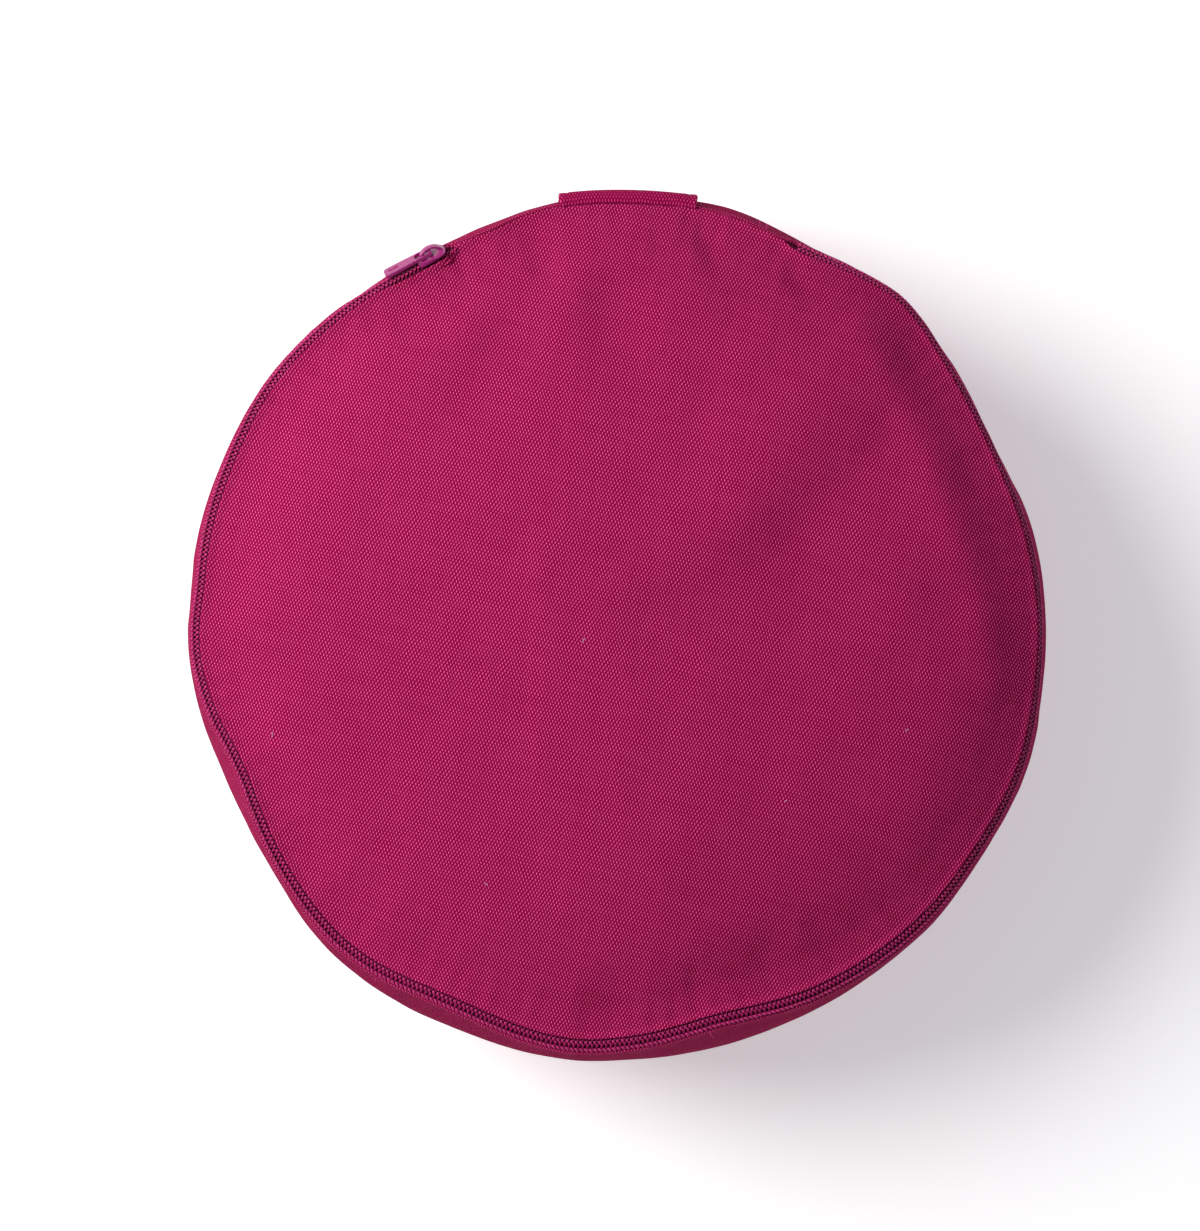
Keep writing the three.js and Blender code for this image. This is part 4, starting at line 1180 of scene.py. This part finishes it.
STRAP_CENTRE_X = 3
STRAP_BEND_RADIUS = 167.5  # radius on which the strap's columns are spread
STRAP_CLEAR = 1.28  # from the band's face to the middle of a strap that lies on it
STRAP_STEPS = 190  # rows of points along the strap
STRAP_COLUMNS = 61  # columns across each face of it
STRAP_EDGE_POINTS = 7  # points round each folded edge
STRAP_SEWN = 0.12  # share of the path at each end over which the cloth lies flat
STRAP_FREEING = 0.1  # share over which its wrinkles then grow
STRAP_WRINKLE = 0.45
STRAP_WRINKLE_NOISE = (13, 31)  # size and seed
STRAP_RUN = 150  # path length on which the wrinkles are laid out
STRAP_SQUEEZE = 0.7  # how much closer together the wrinkles' noise lies across the strap
STRAP_BACK = 300  # how far from its front the thread counts of the strap's back start
STRAP_EDGE_WEAR = 0.9  # width of the worn edge
STITCH_DIP = 0.28  # share of the thickness by which the topstitching draws the cloth in
STITCH_DIP_WIDTH = 0.7
STITCH_RADIUS = 0.26
STITCH_GAP = 0.5
STITCH_START = 6  # from the path's ends to the first stitch and from the last one

# The strap's path from the upper seam to the lower one. Near a seam a point is given across the seam
# and out of it. Elsewhere it is given by its height, its slack off the band at the strap's centre, and
# how much that grows for each millimetre to the right.
STRAP_PATH = (
    ("upper", 0.0, -0.4), ("upper", 0.1, 1.2), ("upper", 1.3, 2.2), ("upper", 4.2, 2.4),
    ("band", 108, 0.3, 0.01), ("band", 92, 0.8, 0.02), ("band", 75, 1.3, 0.03), ("band", 60, 3.2, 0.03),
    ("band", 46, 7.2, 0.02), ("band", 35, 9.0, 0.01), ("band", 26.5, 5.6, 0.0),
    ("lower", 4.0, 2.4), ("lower", 1.3, 2.2), ("lower", 0.1, 1.2), ("lower", 0.0, -0.4),
)


def strap_wrinkle(sides, run):
    """Unevenness of the strap's cloth at distances from its centre line and shares of its path."""
    free = grown(np.minimum(run, 1 - run), STRAP_SEWN, STRAP_FREEING)
    noise = soft_noise(sides * STRAP_SQUEEZE, run * STRAP_RUN, *STRAP_WRINKLE_NOISE)
    return noise * STRAP_WRINKLE * free


def strap_middle(sides, steps):
    """Middle of the strap's cloth at distances from its centre line: (side, step) points, the way out
    of the cloth and the angles."""
    angles = np.arccos((STRAP_CENTRE_X + sides) / STRAP_BEND_RADIUS)
    rows = []
    for kind, *place in STRAP_PATH:
        if kind == "band":
            height, slack, skew = place
            end = around(rim.band_top if height > WIDEST_HEIGHT else rim.band_foot, angles)
            sign = 1 if height > WIDEST_HEIGHT else -1
            flat = rim.band(angles, sign * (height - WIDEST_HEIGHT) / (end[:, 1] - WIDEST_HEIGHT))
            flat[:, 0] += STRAP_CLEAR + slack + skew * sides
            flat[:, 1] = height
        else:
            seam = rim.upper if kind == "upper" else rim.lower
            flat = seam.point(angles, np.full(len(sides), place[0]), place[1])
        rows.append(flat)
    flat = np.stack(rows, axis=-1)
    lengths = np.linalg.norm(np.diff(flat.mean(axis=0), axis=-1), axis=0)
    knots = np.concatenate(([0], np.cumsum(lengths**0.5)))
    at = np.linspace(0, knots[-1], steps)
    curve = through(knots, flat, at).transpose(0, 2, 1)
    way = unit(np.gradient(curve, axis=1))
    return curve, np.stack((-way[..., 1], way[..., 0]), axis=-1) * -1, angles


class CUSHION_OT_strap(bpy.types.Operator):
    """Sew the carrying strap of folded canvas over the band at the back"""

    bl_idname = "cushion.strap"
    bl_label = "Carrying strap"

    def execute(self, context):
        look, canvas = context.scene.cushion_strap, context.scene.cushion_canvas
        half, thick = look.width / MM / 2, look.thickness / MM / 2
        inset = look.stitch_inset / MM
        roll = np.radians(np.linspace(90, -90, STRAP_EDGE_POINTS + 2)[1:-1])
        straight = np.linspace(-half + thick, half - thick, STRAP_COLUMNS)
        folded = half - thick + thick * np.cos(roll)
        sides = np.concatenate((straight, folded, straight[::-1], -folded))
        offset = np.concatenate((
            np.ones(len(straight)), np.sin(roll), -np.ones(len(straight)), -np.sin(roll),
        )) * thick
        curve, way, angles = strap_middle(sides, STRAP_STEPS)
        near_stitch = np.abs(np.abs(sides) - (half - inset))
        offset = offset * (1 - STITCH_DIP * np.exp(-((near_stitch / STITCH_DIP_WIDTH) ** 2)))
        wrinkle = strap_wrinkle(sides[:, None], np.linspace(0, 1, STRAP_STEPS)[None])
        points = stand(curve + way * (offset[:, None] + wrinkle)[..., None], angles[:, None])
        warp = np.where(offset > 0, sides, sides + STRAP_BACK) * MM / canvas.warp_pitch
        weft = walked(curve[0]) * MM / canvas.weft_pitch
        # Worn edges, and painted shade on the thread crowns over the whole strap.
        wear_and_shade = np.exp(-(((half - np.abs(sides)) / STRAP_EDGE_WEAR) ** 2)) - STRAP_PAINTED_SHADE
        cloth = np.stack(np.broadcast_arrays(warp[:, None], weft[None], wear_and_shade[:, None]), axis=-1)
        points, cloth = points.transpose(1, 0, 2), cloth.transpose(1, 0, 2)
        faces = grid_faces(STRAP_STEPS, len(sides), True).tolist()
        last = (STRAP_STEPS - 1) * len(sides)
        faces += [list(range(len(sides)))[::-1], [last + k for k in range(len(sides))]]
        piece = add_piece("strap_canvas", points, faces, canvas_material(), "canvas", cloth)
        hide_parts("handle")
        stitches = self.topstitching(look, half - inset, thick)
        return {"FINISHED"}

    def topstitching(self, look, reach, thick):
        """The stitches along both edges of the strap."""
        sides = np.array([-reach, reach])
        curve, way, angles = strap_middle(sides, 1500)
        parts = []
        for k in range(2):
            walk = walked(curve[k])
            stitch = look.stitch_length / MM
            at = np.arange(STITCH_START, walk[-1] - STITCH_START, stitch + STITCH_GAP)
            wrinkle = strap_wrinkle(sides[k], np.interp(at, walk, np.linspace(0, 1, len(walk))))
            flat = np.stack([np.interp(at, walk, curve[k][:, i]) for i in (0, 1)], axis=-1)
            out = unit(np.stack([np.interp(at, walk, way[k][:, i]) for i in (0, 1)], axis=-1))
            centre = stand(flat + out * (thick * 0.8 + wrinkle)[:, None], angles[k])
            high = stand(out, angles[k])
            side_way = np.broadcast_to([math.sin(angles[k]), -math.cos(angles[k]), 0], high.shape)
            size = (stitch / 2, STITCH_RADIUS, STITCH_RADIUS)
            parts.append(beads(centre, np.cross(side_way, high), side_way, high, size))
        points, faces = joined(parts)
        return add_piece("strap_stitches", points, faces, sewing_thread(), "canvas")


# ---- lint and loose threads ----

# Lint on the upper face: place, direction and length of each bit.
LINT = ((-128.5, -41.9, 70, 2.2), (104.7, -40.1, 15, 1.3), (-49.4, -96.4, 120, 1.7), (-13.9, -7.5, 35, 1.9),
        (60.0, -66.0, 160, 0.9))
# Thread ends that stick out of the seam: place round it, then across and out of the seam for each point.
THREAD_ENDS = (
    (69.6, (1.0, 0.6), (1.6, 1.6), (2.6, 1.9), (3.3, 1.2)),
    (70.6, (0.9, 0.5), (1.2, 1.5), (2.0, 2.2), (2.9, 2.0)),
    (235.4, (3.0, 0.9), (3.8, 1.9), (4.9, 2.0), (5.6, 1.2)),
    (282.2, (3.0, 0.9), (4.0, 2.1), (5.2, 2.3), (6.0, 1.5)),
    (112.9, (-0.6, 0.4), (-0.2, 1.3), (0.5, 1.6), (1.3, 1.2)),
)
THREAD_TURN = 0.45  # degrees that a thread end walks round the seam
THREAD_POINTS = 13
THREAD_RADIUS = 0.16
LINT_POINTS = 7
LINT_RADIUS = 0.13
LINT_BEND = 0.25
LINT_WAVE = 2.5  # how fast a bit of lint bends to and fro along its length
LINT_CLEAR = 0.12  # from the cover to a bit's middle
ABOVE = 200  # height from which the cover is looked for


class CUSHION_OT_lint(bpy.types.Operator):
    """Drop a few bits of lint on the canvas and leave some thread ends at the seam"""

    bl_idname = "cushion.lint"
    bl_label = "Lint and loose threads"

    def execute(self, context):
        context.view_layer.update()
        cover = bpy.data.objects["canvas_top"]
        lint = [self.bit(cover, *row) for row in LINT]
        add_piece("lint", *joined(lint), thread_material("Pale lint", (0.85, 0.45, 0.62), 0.9), "canvas")
        ends = [self.thread_end(*row) for row in THREAD_ENDS]
        add_piece("thread_ends", *joined(ends), sewing_thread(), "canvas")
        return {"FINISHED"}

    def bit(self, cover, x, y, turn, reach):
        """A bent bit of lint on the cover."""
        along = np.linspace(-0.5, 0.5, LINT_POINTS) * reach
        bend = LINT_BEND * np.sin(along * LINT_WAVE)
        cos, sin = math.cos(math.radians(turn)), math.sin(math.radians(turn))
        path = []
        for step, side in zip(along, bend):
            px, py = x + step * cos - side * sin, y + step * sin + side * cos
            hit, place, _, _ = cover.ray_cast(Vector((px, py, ABOVE)) * MM, Vector((0, 0, -1)))
            if not hit:
                raise RuntimeError("a bit of lint lies off the cover")
            path.append([px, py, place.z / MM + LINT_CLEAR])
        return tube(np.array(path), LINT_RADIUS, THREAD_SIDES, np.array([0.0, 0.0, 1.0]))

    def thread_end(self, place, *way):
        """A thread end that stands out of the seam along the given points."""
        at, knots = np.linspace(0, len(way) - 1, THREAD_POINTS), np.arange(len(way))
        across, out = (np.interp(at, knots, column) for column in np.array(way).T)
        angles = np.radians(place + np.linspace(0, THREAD_TURN, THREAD_POINTS))
        path = stand(rim.upper.point(angles, across, out), angles)
        lead = stand(np.tile([0.0, 1.0], (THREAD_POINTS, 1)), angles)
        return tube(path, THREAD_RADIUS, THREAD_SIDES, lead)


# ---- stage ----

LOOK_FROM = (-0.75, -2.1)  # how far the view leans to the right and to the front, in degrees
VIEW_DISTANCE = 1251
VIEW_HEIGHT = 72
VIEW_AIM = (-7.3, 4.7)
LENS = 94.26
SENSOR = 36
# Lamps, in metres: name, setting of its power, place, size and tone.
LAMPS = (
    ("Key", "key_power", (-1.03, 0.38, 1.3), 0.9, (1.0, 0.985, 0.96)),
    ("Fill", "fill_power", (1.6, 0.5, 0.7), 1.4, (0.3, 0.3, 1.0)),
)
LAMP_AIM = (0, 0, 0.1)
SKY_COLOUR = (0.92, 0.93, 1.0)
FLOOR_REACH = 3.0  # half width of the floor, in metres
FLOOR_CELLS = 12
FLOOR_DEPTH = 0.0005
FLOOR_SHADE = 0.985  # how dark the floor's faint mottling gets


class CUSHION_OT_stage(bpy.types.Operator):
    """Set the pale floor, the soft lights and the camera"""

    bl_idname = "cushion.stage"
    bl_label = "Stage"

    def execute(self, context):
        scene, look = context.scene, context.scene.cushion_stage
        camera = bpy.data.cameras.new("Camera")
        camera.lens, camera.sensor_width, camera.sensor_fit = LENS, SENSOR, "AUTO"
        camera.clip_end = 20
        eye = linked("Camera", camera)
        lean = Vector([math.tan(math.radians(angle)) for angle in LOOK_FROM] + [1.0]).normalized()
        eye.location = Vector((0, 0, VIEW_HEIGHT * MM)) + lean * VIEW_DISTANCE * MM
        aim = Vector((VIEW_AIM[0] * MM, VIEW_AIM[1] * MM, VIEW_HEIGHT * MM))
        back = (eye.location - aim).normalized()
        right = Vector((0, 1, 0)).cross(back).normalized()
        eye.rotation_euler = Matrix((right, back.cross(right), back)).transposed().to_euler()
        scene.camera = eye
        scene.view_settings.view_transform = "Standard"
        self.floor(look)
        for name, setting, place, size, tone in LAMPS:
            self.lamp(name, getattr(look, setting), place, size, tone)
        world = bpy.data.worlds.new("Studio")
        world.use_nodes = True
        sky = world.node_tree.nodes["Background"].inputs
        sky["Color"].default_value = colour(SKY_COLOUR)
        sky["Strength"].default_value = look.sky
        scene.world = world
        return {"FINISHED"}

    def floor(self, look):
        material, nodes, shader = new_material("Pale floor", Roughness=0.9, Specular_IOR_Level=0.1)
        shade = tuple(value * FLOOR_SHADE for value in look.floor_colour)
        nodes.feed(shader.inputs["Base Color"], nodes.mix(
            nodes.noise(nodes.place(), 5.0), colour(look.floor_colour), colour(shade)))
        shader.inputs["Emission Color"].default_value = (1.0, 1.0, 1.0, 1.0)
        shader.inputs["Emission Strength"].default_value = look.floor_glow
        mesh = bpy.data.meshes.new("floor")
        work = bmesh.new()
        bmesh.ops.create_grid(work, x_segments=FLOOR_CELLS, y_segments=FLOOR_CELLS, size=FLOOR_REACH)
        work.to_mesh(mesh)
        work.free()
        mesh.materials.append(material)
        floor = linked("floor", mesh)
        floor.location.z = -FLOOR_DEPTH

    def lamp(self, name, power, place, size, tone):
        light = bpy.data.lights.new(name, "AREA")
        light.shape, light.size, light.energy, light.color = "DISK", size, power, tone
        lamp = linked(name, light)
        lamp.location = place
        lamp.rotation_euler = (Vector(LAMP_AIM) - Vector(place)).to_track_quat("-Z", "Y").to_euler()


# ---- panel and running ----


class CUSHION_PT_panel(bpy.types.Panel):
    """Sizes, colours and steps of the cushion's dressing"""

    bl_idname = "CUSHION_PT_panel"
    bl_label = "Meditation cushion"
    bl_space_type = "VIEW_3D"
    bl_region_type = "UI"
    bl_category = "Cushion"

    def draw(self, context):
        for label, group in GROUPS:
            box = self.layout.box()
            box.label(text=group.__doc__)
            for name in group.__annotations__:
                box.prop(getattr(context.scene, label), name)
        for step in STEPS:
            self.layout.operator(step.bl_idname)


GROUPS = (
    ("cushion_canvas", CanvasSettings),
    ("cushion_zip", ZipSettings),
    ("cushion_strap", StrapSettings),
    ("cushion_stage", StageSettings),
)
STEPS = (
    CUSHION_OT_stage, CUSHION_OT_press, CUSHION_OT_top, CUSHION_OT_band, CUSHION_OT_base, CUSHION_OT_zip,
    CUSHION_OT_slider, CUSHION_OT_strap, CUSHION_OT_lint,
)


def register():
    for label, group in GROUPS:
        bpy.utils.register_class(group)
        setattr(bpy.types.Scene, label, PointerProperty(type=group))
    for step in STEPS:
        bpy.utils.register_class(step)
    bpy.utils.register_class(CUSHION_PT_panel)


def unregister():
    bpy.utils.unregister_class(CUSHION_PT_panel)
    for step in reversed(STEPS):
        bpy.utils.unregister_class(step)
    for label, group in reversed(GROUPS):
        delattr(bpy.types.Scene, label)
        bpy.utils.unregister_class(group)


def main():
    register()
    for step in STEPS:
        area, name = step.bl_idname.split(".")
        getattr(getattr(bpy.ops, area), name)()


if __name__ == "__main__":
    main()
